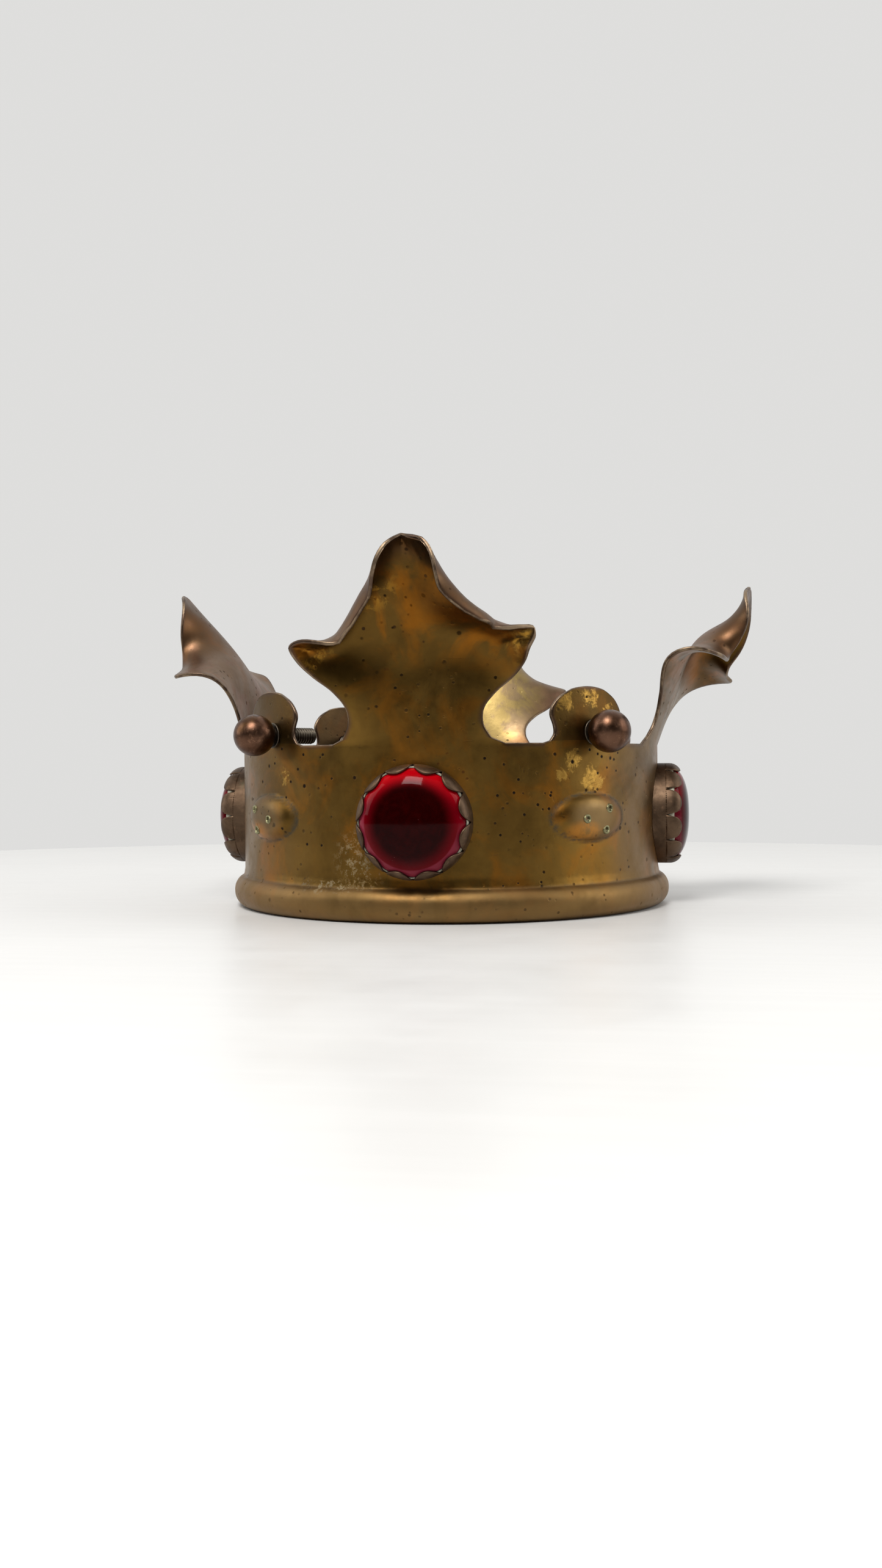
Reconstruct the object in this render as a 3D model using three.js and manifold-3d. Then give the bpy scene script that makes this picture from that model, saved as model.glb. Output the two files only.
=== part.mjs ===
// A small sheet-brass crown: a straight band on a rolled foot bead, four trefoil leaves bent outward,
// four round lobes between them, four oval bosses, four clawed red glass stones, and four ball-headed
// clamp screws that turn in holes through the lobes.
// Millimetres, +Z up. The origin is the middle of the foot ring, on the plane the crown stands on.
// The front leaf is on the -Y side; azimuth is counted from there towards +X.
import * as THREE from "three";
import { mergeVertices } from "three/addons/utils/BufferGeometryUtils.js";
import Module from "manifold-3d";

const wasm = await Module();
wasm.setup();

// ---- driving dimensions, mm and degrees -------------------------------------------------------
const BAND_R = 55.0; // outside radius of the band
const SHEET = 0.9; // thickness of the brass sheet
const MID_R = BAND_R - SHEET / 2; // radius of the middle of the sheet
const VALLEY_Z = 41.0; // height of the band between a leaf and a lobe
const LEAF_H = 49.3; // length of a leaf along its middle, before bending
const LOBE_H = 13.0; // height of a lobe above the valley
const LOBE_FOOT = 12.9; // half width of a lobe where it leaves the valley
const LEAF_FOOT = 20.6; // half width of a leaf where it leaves the valley

const BOSS = { z: 23.6, halfWide: 11.1, halfHigh: 5.4, rise: 2.0 };
const PIERCED_R = 0.9; // the three small pierced holes in each boss

const GEM_Z = 23.2; // height of the stones' centres
const STONE_R = 12.3; // stone, radius
const STONE_BASE = 57.15; // the stone's flat back, distance from the crown's axis
const STONE_GIRDLE = 58.0; // end of the stone's short upright edge
const STONE_TOP = 63.1; // crest of the stone
const BEZEL_R = 13.1; // outside radius of the claw cup
const BEZEL_SHEET = 0.5;
const CLAWS = 12;

const SCREW_Z = 43.6; // height of the clamp screws
const STUD_R = 2.0; // M4 stud
const STUD_IN = 43.8; // inner end of the stud, distance from the axis
const BALL_R = 5.0;
const BALL_AT = 60.5; // ball centre, distance from the axis
const HOLE_R = 2.3; // hole through the lobe, cleared round the stud
const WASHER = { inner: 55.35, outer: 55.75, r: 3.1 };
const GEM_AZ = { front: 0, right: 90, back: 180, left: -90 };
const SCREW_AZ = {
  front_right: 46,
  front_left: -42.5,
  back_right: 135,
  back_left: -135,
};

// Section of the band, middle of the sheet, from the foot's inner edge to the valley: [radius, height].
const BAND_SECTION = [
  [52.8, 0.45],
  [54.7, 0.45],
  [56.2, 1.15],
  [57.15, 2.8],
  [57.2, 5.0],
  [56.4, 6.6],
  [55.05, 7.7],
  [54.6, 9.6],
  [54.55, 14.0],
  [54.55, 17.8],
  [54.55, 20.3],
  [54.55, 23.6],
  [54.55, 26.9],
  [54.55, 29.4],
  [54.55, 35.0],
  [54.55, 41.0],
];

// Flat pattern of a leaf's right half: [half width, height, height of the same row on the middle line].
const LEAF_ROWS = [
  [17.4, 1.3, 1.7],
  [15.65, 4.4, 4.8],
  [15.85, 8.0, 8.4],
  [18.7, 11.6, 12.0],
  [23.0, 15.1, 15.6],
  [26.8, 19.4, 19.2],
  [29.0, 24.0, 22.6],
  [26.9, 26.5, 25.6],
  [21.8, 29.0, 29.0],
  [17.3, 34.0, 33.4],
  [14.2, 39.2, 38.4],
  [11.0, 43.7, 43.2],
  [7.6, 47.0, 47.1],
  [3.3, 49.0, 49.3],
];
// Upper edge of the pattern, from the arm's end to the leaf's tip, which is rolled outward.
const UPPER_EDGE = [
  [29.0, 24.0],
  [28.4, 25.5],
  [26.9, 26.5],
  [24.6, 27.4],
  [21.8, 29.0],
  [19.3, 31.3],
  [17.3, 34.0],
  [15.5, 37.0],
  [13.6, 40.1],
  [11.5, 43.1],
  [9.1, 45.8],
  [6.3, 47.9],
  [3.3, 49.0],
  [0.0, 49.3],
];
const LOBE_ROWS = [
  [11.2, 0.5, 0.9],
  [10.1, 2.2, 2.6],
  [10.3, 4.2, 4.6],
  [11.1, 6.4, 7.0],
  [10.7, 8.3, 9.5],
  [8.6, 10.7, 11.7],
  [5.0, 12.6, 13.3],
];

// How each leaf is bent by hand, at these heights of the pattern.
const KNOTS = [0, 12, 24, 36, 49];
const LEAVES = {
  front: {
    lean: [1.2, -1.1, 20.4, 38.5, 31.5],
    curlLeft: [1.0, -0.64, 1.53, -2.55, -0.43],
    curlRight: [1.0, 0.13, 0.01, -5.29, -0.14],
    twist: [0.0, -2.9, -6.5, 9.1, -6.7],
    growLeft: [0.0, 0.12, -4.32, 3.82, -0.66],
    growRight: [0.0, -0.17, -2.28, 16.92, -3.07],
    roll: [2.3, 2.03],
    widen: [1.95, 5.28],
    rollWidth: 11.0,
  },
  right: {
    lean: [19.1, 19.9, 23.7, 63.7, 2.6],
    curlLeft: [1.0, 0.4, 0.31, -1.7, 4.8],
    curlRight: [1.0, -0.28, -1.07, -3.87, 0.88],
    twist: [0.0, 3.5, -2.0, 0.9, 12.2],
    growLeft: [0.0, 0.65, -0.35, -7.34, 0.46],
    growRight: [0.0, 1.07, -1.63, -3.96, 0.43],
    roll: [0.91, 0.0],
    widen: [0.0, 0.0],
    rollWidth: 7.5,
  },
  back: {
    lean: [5.4, 15.2, 26.9, 42.0, 52.0],
    curlLeft: [1.0, -0.71, -1.13, -2.2, -1.34],
    curlRight: [1.0, 0.3, -0.49, -0.97, -1.04],
    twist: [0.0, -2.0, -2.0, -0.6, -0.2],
    growLeft: [0.0, -0.25, 0.07, -2.01, -0.01],
    growRight: [0.0, 0.0, -0.5, 0.0, 0.0],
    roll: [0.49, 2.2],
    widen: [0.0, 0.0],
    rollWidth: 11.0,
  },
  left: {
    lean: [1.7, 3.3, 31.0, 42.3, 41.8],
    curlLeft: [1.0, 0.15, -1.96, -1.11, -2.06],
    curlRight: [1.0, -0.14, -1.41, -5.34, 1.63],
    twist: [0.0, 3.8, -3.0, -6.6, -2.8],
    growLeft: [0.0, -0.42, 3.84, 0.57, -0.22],
    growRight: [0.0, 1.84, -0.06, -0.19, 0.44],
    roll: [0.0, 0.0],
    widen: [-0.31, -0.97],
    rollWidth: 7.5,
  },
};

// ---- leaf bending -----------------------------------------------------------------------------
function knot(values, t) {
  t = Math.min(Math.max(t, KNOTS[0]), KNOTS.at(-1));
  const n = KNOTS.length;
  const slope = values.map((v, i) => {
    if (i === 0) return (values[1] - values[0]) / (KNOTS[1] - KNOTS[0]);
    if (i === n - 1)
      return (values[i] - values[i - 1]) / (KNOTS[i] - KNOTS[i - 1]);
    const h0 = KNOTS[i] - KNOTS[i - 1],
      h1 = KNOTS[i + 1] - KNOTS[i];
    return (
      (h0 * h0 * values[i + 1] +
        (h1 * h1 - h0 * h0) * values[i] -
        h1 * h1 * values[i - 1]) /
      (h0 * h1 * (h0 + h1))
    );
  });
  let i = 0;
  while (i < n - 2 && t >= KNOTS[i + 1]) i++;
  const h = KNOTS[i + 1] - KNOTS[i],
    x = (t - KNOTS[i]) / h;
  return (
    (2 * x ** 3 - 3 * x ** 2 + 1) * values[i] +
    (x ** 3 - 2 * x ** 2 + x) * h * slope[i] +
    (-2 * x ** 3 + 3 * x ** 2) * values[i + 1] +
    (x ** 3 - x ** 2) * h * slope[i + 1]
  );
}

// Catmull-Rom points through a list, n to a span.
function smooth(points, n) {
  const p = [
    points[0].map((v, k) => 2 * v - points[1][k]),
    ...points,
    points.at(-1).map((v, k) => 2 * v - points.at(-2)[k]),
  ];
  const out = [];
  for (let i = 1; i < p.length - 2; i++)
    for (let k = 0; k < n; k++) {
      const x = k / n;
      out.push(
        p[i].map(
          (b, m) =>
            0.5 *
            (2 * b +
              (p[i + 1][m] - p[i - 1][m]) * x +
              (2 * p[i - 1][m] - 5 * b + 4 * p[i + 1][m] - p[i + 2][m]) *
                x *
                x +
              (3 * b - p[i - 1][m] - 3 * p[i + 1][m] + p[i + 2][m]) * x ** 3),
        ),
      );
    }
  out.push(points.at(-1));
  return out;
}
const edge = smooth(UPPER_EDGE, 10);
// Unit normals pointing off the pattern, and the share of the run, along an edge line.
const outward = (line, like) =>
  line.map((_, i) => {
    const a = line[Math.max(i - 1, 0)],
      b = line[Math.min(i + 1, line.length - 1)];
    const l = Math.hypot(b[0] - a[0], b[1] - a[1]);
    const n = [(b[1] - a[1]) / l, -(b[0] - a[0]) / l];
    const m = like ? like[i] : [1, 0.6];
    return n[0] * m[0] + n[1] * m[1] < 0 ? [-n[0], -n[1]] : n;
  });
const share = (line) => {
  const run = [0];
  for (let i = 1; i < line.length; i++)
    run.push(
      run[i - 1] +
        Math.hypot(line[i][0] - line[i - 1][0], line[i][1] - line[i - 1][1]),
    );
  return run.map((v) => v / run.at(-1));
};
const edgeOut = outward(edge);
const edgeShare = share(edge);
// The point k of the upper edge, moved off the pattern by a leaf's widening.
const widened = (p, k, by) => {
  const d = by * Math.sin(Math.PI * edgeShare[k]);
  return [p[0] + edgeOut[k][0] * d, p[1] + edgeOut[k][1] * d];
};

class Leaf {
  constructor(azimuth, bend) {
    this.az = (azimuth * Math.PI) / 180;
    Object.assign(this, bend);
    this.edges = this.widen.map((by) => {
      const line = edge.map((p, k) => widened(p, k, by));
      let out = outward(line, edgeOut);
      for (let pass = 0; pass < 30; pass++)
        out = out.map((n, i) =>
          i === 0 || i === out.length - 1
            ? n
            : n.map((v, m) => 0.25 * out[i - 1][m] + 0.5 * v + 0.25 * out[i + 1][m]),
        );
      out = out.map(([a, b]) => [a / Math.hypot(a, b), b / Math.hypot(a, b)]);
      return { line, out, share: share(line) };
    });
    const N = 246,
      top = 49.2;
    this.run = [[0, MID_R, VALLEY_Z]];
    for (let i = 1; i < N; i++) {
      const t0 = (top * (i - 1)) / (N - 1),
        t1 = (top * i) / (N - 1);
      const a0 = (knot(this.lean, t0) * Math.PI) / 180,
        a1 = (knot(this.lean, t1) * Math.PI) / 180;
      const p = this.run[i - 1];
      this.run.push([
        t1,
        p[1] + 0.5 * (Math.sin(a0) + Math.sin(a1)) * (t1 - t0),
        p[2] + 0.5 * (Math.cos(a0) + Math.cos(a1)) * (t1 - t0),
      ]);
    }
  }
  // The outline's rows on one side: half width, height at the edge, height in the middle.
  rows(side) {
    return LEAF_ROWS.map(([w, t, c]) => {
      if (t <= 24) return [w, t, c];
      let k = 0;
      edge.forEach((p, i) => {
        if (
          Math.hypot(p[0] - w, p[1] - t) <
          Math.hypot(edge[k][0] - w, edge[k][1] - t)
        )
          k = i;
      });
      return [...widened([w, t], k, this.widen[side]), c];
    });
  }
  // A point of the pattern (u across, t up) on the bent leaf.
  at(u, t) {
    let lift = 0;
    const side = u < 0 ? 0 : 1;
    let au = Math.abs(u);
    if (this.roll[side] > 1e-3) {
      const { line, out, share } = this.edges[side];
      let best = 1e9,
        k = 0;
      for (let i = 0; i < line.length; i++) {
        const d = (au - line[i][0]) ** 2 + (t - line[i][1]) ** 2;
        if (d < best) (best = d), (k = i);
      }
      let s = share[k],
        [nx, nt] = out[k];
      for (const j of [k - 1, k]) {
        if (j < 0 || j > line.length - 2) continue;
        const A = line[j],
          B = line[j + 1],
          ex = B[0] - A[0],
          et = B[1] - A[1];
        const x = Math.min(
          Math.max(
            ((au - A[0]) * ex + (t - A[1]) * et) / (ex * ex + et * et),
            0,
          ),
          1,
        );
        const d = (au - A[0] - ex * x) ** 2 + (t - A[1] - et * x) ** 2;
        if (d < best) {
          best = d;
          s = share[j] * (1 - x) + share[j + 1] * x;
          nx = out[j][0] * (1 - x) + out[j + 1][0] * x;
          nt = out[j][1] * (1 - x) + out[j + 1][1] * x;
        }
      }
      const d = Math.sqrt(best),
        wide = this.rollWidth;
      const w =
        Math.min(Math.max(s / 0.25, 0), 1) ** 1.3 *
        (1 - Math.min(Math.max((s - 0.6) / 0.4, 0), 1) ** 1.5);
      const a = Math.min(Math.max(wide - d, 0), wide);
      const rho = wide / Math.max(this.roll[side] * w, 1e-4),
        th = a / rho;
      const shift = rho * Math.sin(th) - a;
      lift = rho * (1 - Math.cos(th));
      au += nx * shift;
      t += nt * shift;
    }
    const sg = u < 0 ? -1 : 1;
    const tc = Math.min(Math.max(t, 0), 49.2);
    const f = (tc / 49.2) * 245,
      i0 = Math.min(Math.floor(f), 244),
      x = f - i0;
    const A = this.run[i0],
      B = this.run[i0 + 1];
    const rc = A[1] + (B[1] - A[1]) * x,
      zc = A[2] + (B[2] - A[2]) * x + Math.min(t, 0);
    const al = (knot(this.lean, tc) * Math.PI) / 180,
      tw = (knot(this.twist, tc) * Math.PI) / 180;
    const k1 = knot(sg < 0 ? this.curlLeft : this.curlRight, tc) / MID_R;
    const c = knot(sg < 0 ? this.growLeft : this.growRight, tc) / MID_R / 20;
    let X = 0,
      Y = 0;
    for (let i = 0; i < 12; i++) {
      const q = ((i + 0.5) / 12) * au,
        th = k1 * q + (c * q * q) / 2;
      X += (Math.cos(th) * au) / 12;
      Y -= (Math.sin(th) * au) / 12;
    }
    X *= sg;
    const er = new THREE.Vector3(Math.sin(this.az), -Math.cos(this.az), 0);
    const ep = new THREE.Vector3(Math.cos(this.az), Math.sin(this.az), 0);
    const out = er
      .clone()
      .multiplyScalar(Math.cos(al))
      .add(new THREE.Vector3(0, 0, -Math.sin(al)));
    const across = ep
      .clone()
      .multiplyScalar(Math.cos(tw))
      .addScaledVector(out, Math.sin(tw));
    const away = out
      .clone()
      .multiplyScalar(Math.cos(tw))
      .addScaledVector(ep, -Math.sin(tw));
    const thU = k1 * au + (c * au * au) / 2;
    const normal = away
      .clone()
      .multiplyScalar(Math.cos(thU))
      .addScaledVector(across, Math.sin(thU) * sg);
    return er
      .multiplyScalar(rc)
      .add(new THREE.Vector3(0, 0, zc))
      .addScaledVector(across, X)
      .addScaledVector(away, Y)
      .addScaledVector(normal, lift);
  }
}

// ---- closed sheet from a net of quads on the middle of the sheet ------------------------------
const QUARTER = (Math.PI * MID_R) / 2;
const SPANS = 12; // spans across a leaf, closer together toward its edges
const spacing = (s) => Math.sign(s) * (1 - (1 - Math.abs(s)) ** 1.35);
function cylinderPoint(az, r, z) {
  return new THREE.Vector3(r * Math.sin(az), -r * Math.cos(az), z);
}
function shellGeometry() {
  const points = [],
    quads = [];
  const add = (v) => points.push(v) - 1;
  // Columns of the band, as arc lengths from the front leaf's middle.
  const columns = [];
  for (let q = 0; q < 4; q++) {
    const c = q * QUARTER;
    for (let i = 0; i <= SPANS; i++)
      columns.push({
        at: c + LEAF_FOOT * ((2 * i) / SPANS - 1),
        leaf: q,
        i,
      });
    const lobe = c + QUARTER / 2;
    columns.push({ at: (c + LEAF_FOOT + lobe - LOBE_FOOT) / 2 });
    for (let i = 0; i <= 6; i++)
      columns.push({
        at: lobe - LOBE_FOOT + (2 * LOBE_FOOT * i) / 6,
        lobe: q,
        i,
      });
    columns.push({ at: (c + QUARTER - LEAF_FOOT + lobe + LOBE_FOOT) / 2 });
  }
  const n = columns.length;
  const boss = (arc, z) => {
    let e = 1e9;
    for (let q = 0; q < 4; q++) {
      const d =
        ((((arc - (q + 0.5) * QUARTER) % (4 * QUARTER)) + 6 * QUARTER) %
          (4 * QUARTER)) -
        2 * QUARTER;
      e = Math.min(
        e,
        (d / BOSS.halfWide) ** 2 + ((z - BOSS.z) / BOSS.halfHigh) ** 2,
      );
    }
    return e < 1 ? BOSS.rise * (1 - e ** 2.4) : 0;
  };
  const band = BAND_SECTION.map(([r, z]) =>
    columns.map((c) =>
      add(cylinderPoint(c.at / MID_R, r + boss(c.at, z), z)),
    ),
  );
  for (let j = 0; j + 1 < band.length; j++)
    for (let i = 0; i < n; i++)
      quads.push([
        band[j][i],
        band[j][(i + 1) % n],
        band[j + 1][(i + 1) % n],
        band[j + 1][i],
      ]);
  const top = band.at(-1);
  const grow = (first, left, right, spans, place) => {
    let below = first;
    for (let j = 0; j < left.length; j++) {
      const row = [];
      for (let i = 0; i <= spans; i++) {
        const s = spacing((2 * i) / spans - 1);
        const [w, t] = s < 0 ? left[j] : right[j];
        const c = left[j][2];
        row.push(add(place(s * w, c + (t - c) * s * s)));
      }
      for (let i = 0; i < spans; i++)
        quads.push([below[i], below[i + 1], row[i + 1], row[i]]);
      below = row;
    }
  };
  for (let q = 0; q < 4; q++) {
    const leaf = new Leaf(q * 90, LEAVES[["front", "right", "back", "left"][q]]);
    const first = columns.flatMap((c, k) => (c.leaf === q ? [top[k]] : []));
    grow(first, leaf.rows(0), leaf.rows(1), SPANS, (u, t) => leaf.at(u, t));
    const foot = columns.flatMap((c, k) => (c.lobe === q ? [top[k]] : []));
    grow(foot, LOBE_ROWS, LOBE_ROWS, 6, (u, t) =>
      cylinderPoint(((q + 0.5) * Math.PI) / 2 + u / MID_R, MID_R, VALLEY_Z + t),
    );
  }
  // Normals at the points, averaged over the quads.
  const normal = points.map(() => new THREE.Vector3());
  for (const q of quads) {
    const m = new THREE.Vector3()
      .subVectors(points[q[2]], points[q[0]])
      .cross(new THREE.Vector3().subVectors(points[q[3]], points[q[1]]));
    for (const k of q) normal[k].add(m);
  }
  const half = SHEET / 2;
  const position = [];
  const floor = new Set([...band[0], ...band[1]]);
  for (const side of [1, -1])
    points.forEach((p, k) => {
      const v = p
        .clone()
        .addScaledVector(normal[k].clone().normalize(), side * half);
      if (side === 1 && floor.has(k)) v.z = 0; // the foot stands flat
      position.push(v.x, v.y, v.z);
    });
  const N = points.length,
    index = [];
  const used = new Map();
  for (const [a, b, c, d] of quads) {
    index.push(a, b, c, a, c, d);
    index.push(a + N, c + N, b + N, a + N, d + N, c + N);
    for (const [p, q] of [
      [a, b],
      [b, c],
      [c, d],
      [d, a],
    ])
      used.set(p + "_" + q, [p, q]);
  }
  for (const [p, q] of used.values())
    if (!used.has(q + "_" + p)) index.push(p, p + N, q + N, p, q + N, q);
  const g = new THREE.BufferGeometry();
  g.setAttribute("position", new THREE.Float32BufferAttribute(position, 3));
  g.setIndex(index);
  return g;
}

// ---- joining and cutting ----------------------------------------------------------------------
function solid(geometry) {
  const g = geometry.clone();
  g.deleteAttribute("normal");
  g.deleteAttribute("uv");
  const m = mergeVertices(g, 1e-4);
  return new wasm.Manifold(
    new wasm.Mesh({
      numProp: 3,
      vertProperties: new Float32Array(m.attributes.position.array),
      triVerts: new Uint32Array(m.index.array),
    }),
  );
}
function geometryOf(manifold) {
  const m = manifold.getMesh();
  const g = new THREE.BufferGeometry();
  g.setAttribute(
    "position",
    new THREE.Float32BufferAttribute(Array.from(m.vertProperties), 3),
  );
  g.setIndex(Array.from(m.triVerts));
  g.computeVertexNormals();
  return g;
}
// Lathe profiles are [radius, distance along the screw's axis]; the axis is then laid along local +Z.
function turned(profile, segments) {
  const pts = profile.map(([r, h]) => new THREE.Vector2(r, h));
  const g = new THREE.LatheGeometry(pts, segments);
  g.rotateX(Math.PI / 2);
  return g;
}
// A radial frame: local +Z points outward along the azimuth, local +Y points up.
function radial(azimuth, z) {
  const a = (azimuth * Math.PI) / 180;
  const m = new THREE.Matrix4().makeBasis(
    new THREE.Vector3(Math.cos(a), Math.sin(a), 0),
    new THREE.Vector3(0, 0, 1),
    new THREE.Vector3(Math.sin(a), -Math.cos(a), 0),
  );
  m.setPosition(0, 0, z);
  return m;
}

// A closed body between an outer and an inner skin, over rings about local +Z.
// rings: list of functions of the angle giving [x, y, h], from the middle of one side round to the other.
function ringBody(rings, segments, capped) {
  const position = [],
    index = [];
  rings.forEach((f) => {
    for (let i = 0; i < segments; i++)
      position.push(...f((i / segments) * 2 * Math.PI));
  });
  const at = (j, i) => j * segments + (i % segments);
  const last = rings.length - 1;
  for (let j = 0; j < (capped ? last : rings.length); j++)
    for (let i = 0; i < segments; i++) {
      const k = (j + 1) % rings.length;
      index.push(at(j, i), at(j, i + 1), at(k, i + 1));
      index.push(at(j, i), at(k, i + 1), at(k, i));
    }
  if (capped)
    for (const [j, flip] of [
      [0, true],
      [last, false],
    ]) {
      let x = 0,
        y = 0,
        h = 0;
      for (let i = 0; i < segments; i++) {
        const p = 3 * at(j, i);
        x += position[p] / segments;
        y += position[p + 1] / segments;
        h += position[p + 2] / segments;
      }
      const c = position.push(x, y, h) / 3 - 1;
      for (let i = 0; i < segments; i++)
        index.push(
          ...(flip ? [c, at(j, i + 1), at(j, i)] : [c, at(j, i), at(j, i + 1)]),
        );
    }
  const g = new THREE.BufferGeometry();
  g.setAttribute("position", new THREE.Float32BufferAttribute(position, 3));
  g.setIndex(index);
  return g;
}
const onWall = (x, gap) => Math.sqrt((BAND_R + gap) ** 2 - x * x);

// ---- materials --------------------------------------------------------------------------------
const brass = () =>
  new THREE.MeshStandardMaterial({
    color: 0x7a5a26,
    roughness: 0.42,
    metalness: 1,
  });
const darkBrass = () =>
  new THREE.MeshStandardMaterial({
    color: 0x4b3a26,
    roughness: 0.5,
    metalness: 1,
  });
const bronze = () =>
  new THREE.MeshStandardMaterial({
    color: 0x4e3024,
    roughness: 0.35,
    metalness: 1,
  });
const redGlass = () =>
  new THREE.MeshStandardMaterial({
    color: 0x7a0612,
    roughness: 0.06,
    metalness: 0,
  });
const cement = () =>
  new THREE.MeshStandardMaterial({
    color: 0xb9ac8e,
    roughness: 0.95,
    metalness: 0,
  });

// ---- the assembly -----------------------------------------------------------------------------
const crown = new THREE.Group();
function addNode(name, geometry, material, matrix) {
  const mesh = new THREE.Mesh(geometry, material);
  mesh.name = name;
  if (matrix) {
    mesh.applyMatrix4(matrix);
  }
  crown.add(mesh);
  return mesh;
}

// Shell, with the four stud holes and the pierced holes of the bosses cut through it.
let shell = solid(shellGeometry());
const drill = (azimuth, z, r, from, to, segments, dx = 0) => {
  const g = new THREE.CylinderGeometry(r, r, to - from, segments);
  g.rotateX(Math.PI / 2);
  g.translate(dx, 0, (from + to) / 2);
  g.applyMatrix4(radial(azimuth, z));
  return solid(g);
};
for (const az of Object.values(SCREW_AZ))
  shell = shell.subtract(drill(az, SCREW_Z, HOLE_R, 50, 60, 12));
for (const [az, mirror] of [
  [45, 1],
  [-45, -1],
  [135, 1],
  [-135, -1],
])
  for (const [dx, dz] of [
    [-2.6, -0.3],
    [4.4, 2.0],
    [3.4, -3.0],
  ])
    shell = shell.subtract(
      drill(
        az + (mirror * dx * 180) / Math.PI / BAND_R,
        BOSS.z + dz,
        PIERCED_R,
        50,
        60,
        6,
      ),
    );
addNode("crown_shell", geometryOf(shell), brass());

// Stones, their claw cups and the cement under them.
const SEG = CLAWS * 3;
for (const [place, azimuth] of Object.entries(GEM_AZ)) {
  const frame = radial(azimuth, GEM_Z);
  const circle = (r, h) => (a) => [r * Math.cos(a), r * Math.sin(a), h];
  const onBand = (r, gap) => (a) => [
    r * Math.cos(a),
    r * Math.sin(a),
    onWall(r * Math.cos(a), gap),
  ];
  // Claw cup: each claw is widest at its middle and leaves a notch at its ends.
  const claw = (a) => Math.cos((CLAWS / 2) * a) ** 2;
  const tip = (r, inset, h) => (a) => {
    const k = claw(a);
    const rr = r - inset * k;
    return [rr * Math.cos(a), rr * Math.sin(a), h - 0.75 * (1 - k)];
  };
  const inner = BEZEL_R - BEZEL_SHEET;
  addNode(
    "bezel_" + place,
    ringBody(
      [
        onBand(BEZEL_R, 0.3),
        circle(BEZEL_R, 58.9),
        tip(BEZEL_R - 0.35, 0.3, 60.0),
        tip(BEZEL_R - 0.75, 1.15, 60.55),
        tip(BEZEL_R - 1.0 + 0.25, 1.15, 60.1),
        tip(inner, 0.05, 59.5),
        circle(inner, 58.7),
        onBand(inner, 0.3),
      ],
      SEG,
      false,
    ),
    darkBrass(),
    frame,
  );
  const dome = (k) => {
    const r = STONE_R * Math.cos(k),
      h = STONE_GIRDLE + (STONE_TOP - STONE_GIRDLE) * Math.sin(k);
    return circle(r, h);
  };
  addNode(
    "cabochon_" + place,
    ringBody(
      [
        circle(STONE_R, STONE_BASE),
        dome(0),
        dome(0.3),
        dome(0.62),
        dome(0.95),
        dome(1.27),
      ],
      24,
      true,
    ),
    redGlass(),
    frame,
  );
  addNode(
    "bedding_" + place,
    ringBody(
      [onBand(6, 0.3), onBand(12.2, 0.3), circle(12.2, 56.85), circle(6, 56.85)],
      24,
      true,
    ),
    cement(),
    frame,
  );
}

// Clamp screws: ball, stud and the collar under the ball.
for (const [place, azimuth] of Object.entries(SCREW_AZ)) {
  const frame = radial(azimuth, SCREW_Z);
  const socket = BALL_AT - Math.sqrt(BALL_R ** 2 - HOLE_R ** 2);
  const ball = [[0, BALL_AT - 0.4], [HOLE_R, BALL_AT - 0.4], [HOLE_R, socket]];
  const start = Math.asin(HOLE_R / BALL_R);
  for (let k = 1; k <= 9; k++) {
    const a = start + ((Math.PI - start) * k) / 9;
    ball.push([
      k === 9 ? 0 : BALL_R * Math.sin(a),
      BALL_AT - BALL_R * Math.cos(a),
    ]);
  }
  addNode("ball_knob_" + place, turned(ball, 16), bronze(), frame);
  addNode(
    "screw_stud_" + place,
    turned(
      [
        [0, STUD_IN],
        [STUD_R - 0.55, STUD_IN],
        [STUD_R, STUD_IN + 0.55],
        [STUD_R, BALL_AT - 0.7],
        [0, BALL_AT - 0.7],
      ],
      12,
    ),
    darkBrass(),
    frame,
  );
  addNode(
    "ball_washer_" + place,
    turned(
      [
        [HOLE_R, WASHER.inner],
        [WASHER.r, WASHER.inner],
        [WASHER.r, WASHER.outer - 0.15],
        [WASHER.r - 0.15, WASHER.outer],
        [HOLE_R, WASHER.outer],
        [HOLE_R, WASHER.inner],
      ],
      16,
    ),
    darkBrass(),
    frame,
  );
}

export default crown;
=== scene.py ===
import math

import bpy
import numpy as np
from mathutils import Matrix, Vector


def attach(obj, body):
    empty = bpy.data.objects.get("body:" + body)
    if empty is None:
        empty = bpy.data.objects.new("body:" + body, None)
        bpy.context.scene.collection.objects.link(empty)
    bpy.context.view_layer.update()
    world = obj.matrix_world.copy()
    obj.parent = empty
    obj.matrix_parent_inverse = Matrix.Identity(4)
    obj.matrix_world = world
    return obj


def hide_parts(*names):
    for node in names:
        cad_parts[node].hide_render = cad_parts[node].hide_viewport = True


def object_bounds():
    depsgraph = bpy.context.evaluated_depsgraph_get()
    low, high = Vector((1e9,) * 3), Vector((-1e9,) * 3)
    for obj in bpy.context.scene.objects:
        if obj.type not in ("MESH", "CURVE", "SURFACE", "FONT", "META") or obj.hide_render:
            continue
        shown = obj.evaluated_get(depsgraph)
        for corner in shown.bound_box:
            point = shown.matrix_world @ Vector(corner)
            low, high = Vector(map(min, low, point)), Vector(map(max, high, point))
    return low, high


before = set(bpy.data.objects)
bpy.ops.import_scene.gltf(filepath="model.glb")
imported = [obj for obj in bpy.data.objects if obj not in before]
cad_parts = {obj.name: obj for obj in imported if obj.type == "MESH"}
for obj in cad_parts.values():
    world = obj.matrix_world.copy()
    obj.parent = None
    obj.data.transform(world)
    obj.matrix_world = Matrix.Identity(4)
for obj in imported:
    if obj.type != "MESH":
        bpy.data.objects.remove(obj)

cad_lo, cad_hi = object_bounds()
MM = 0.001

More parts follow.
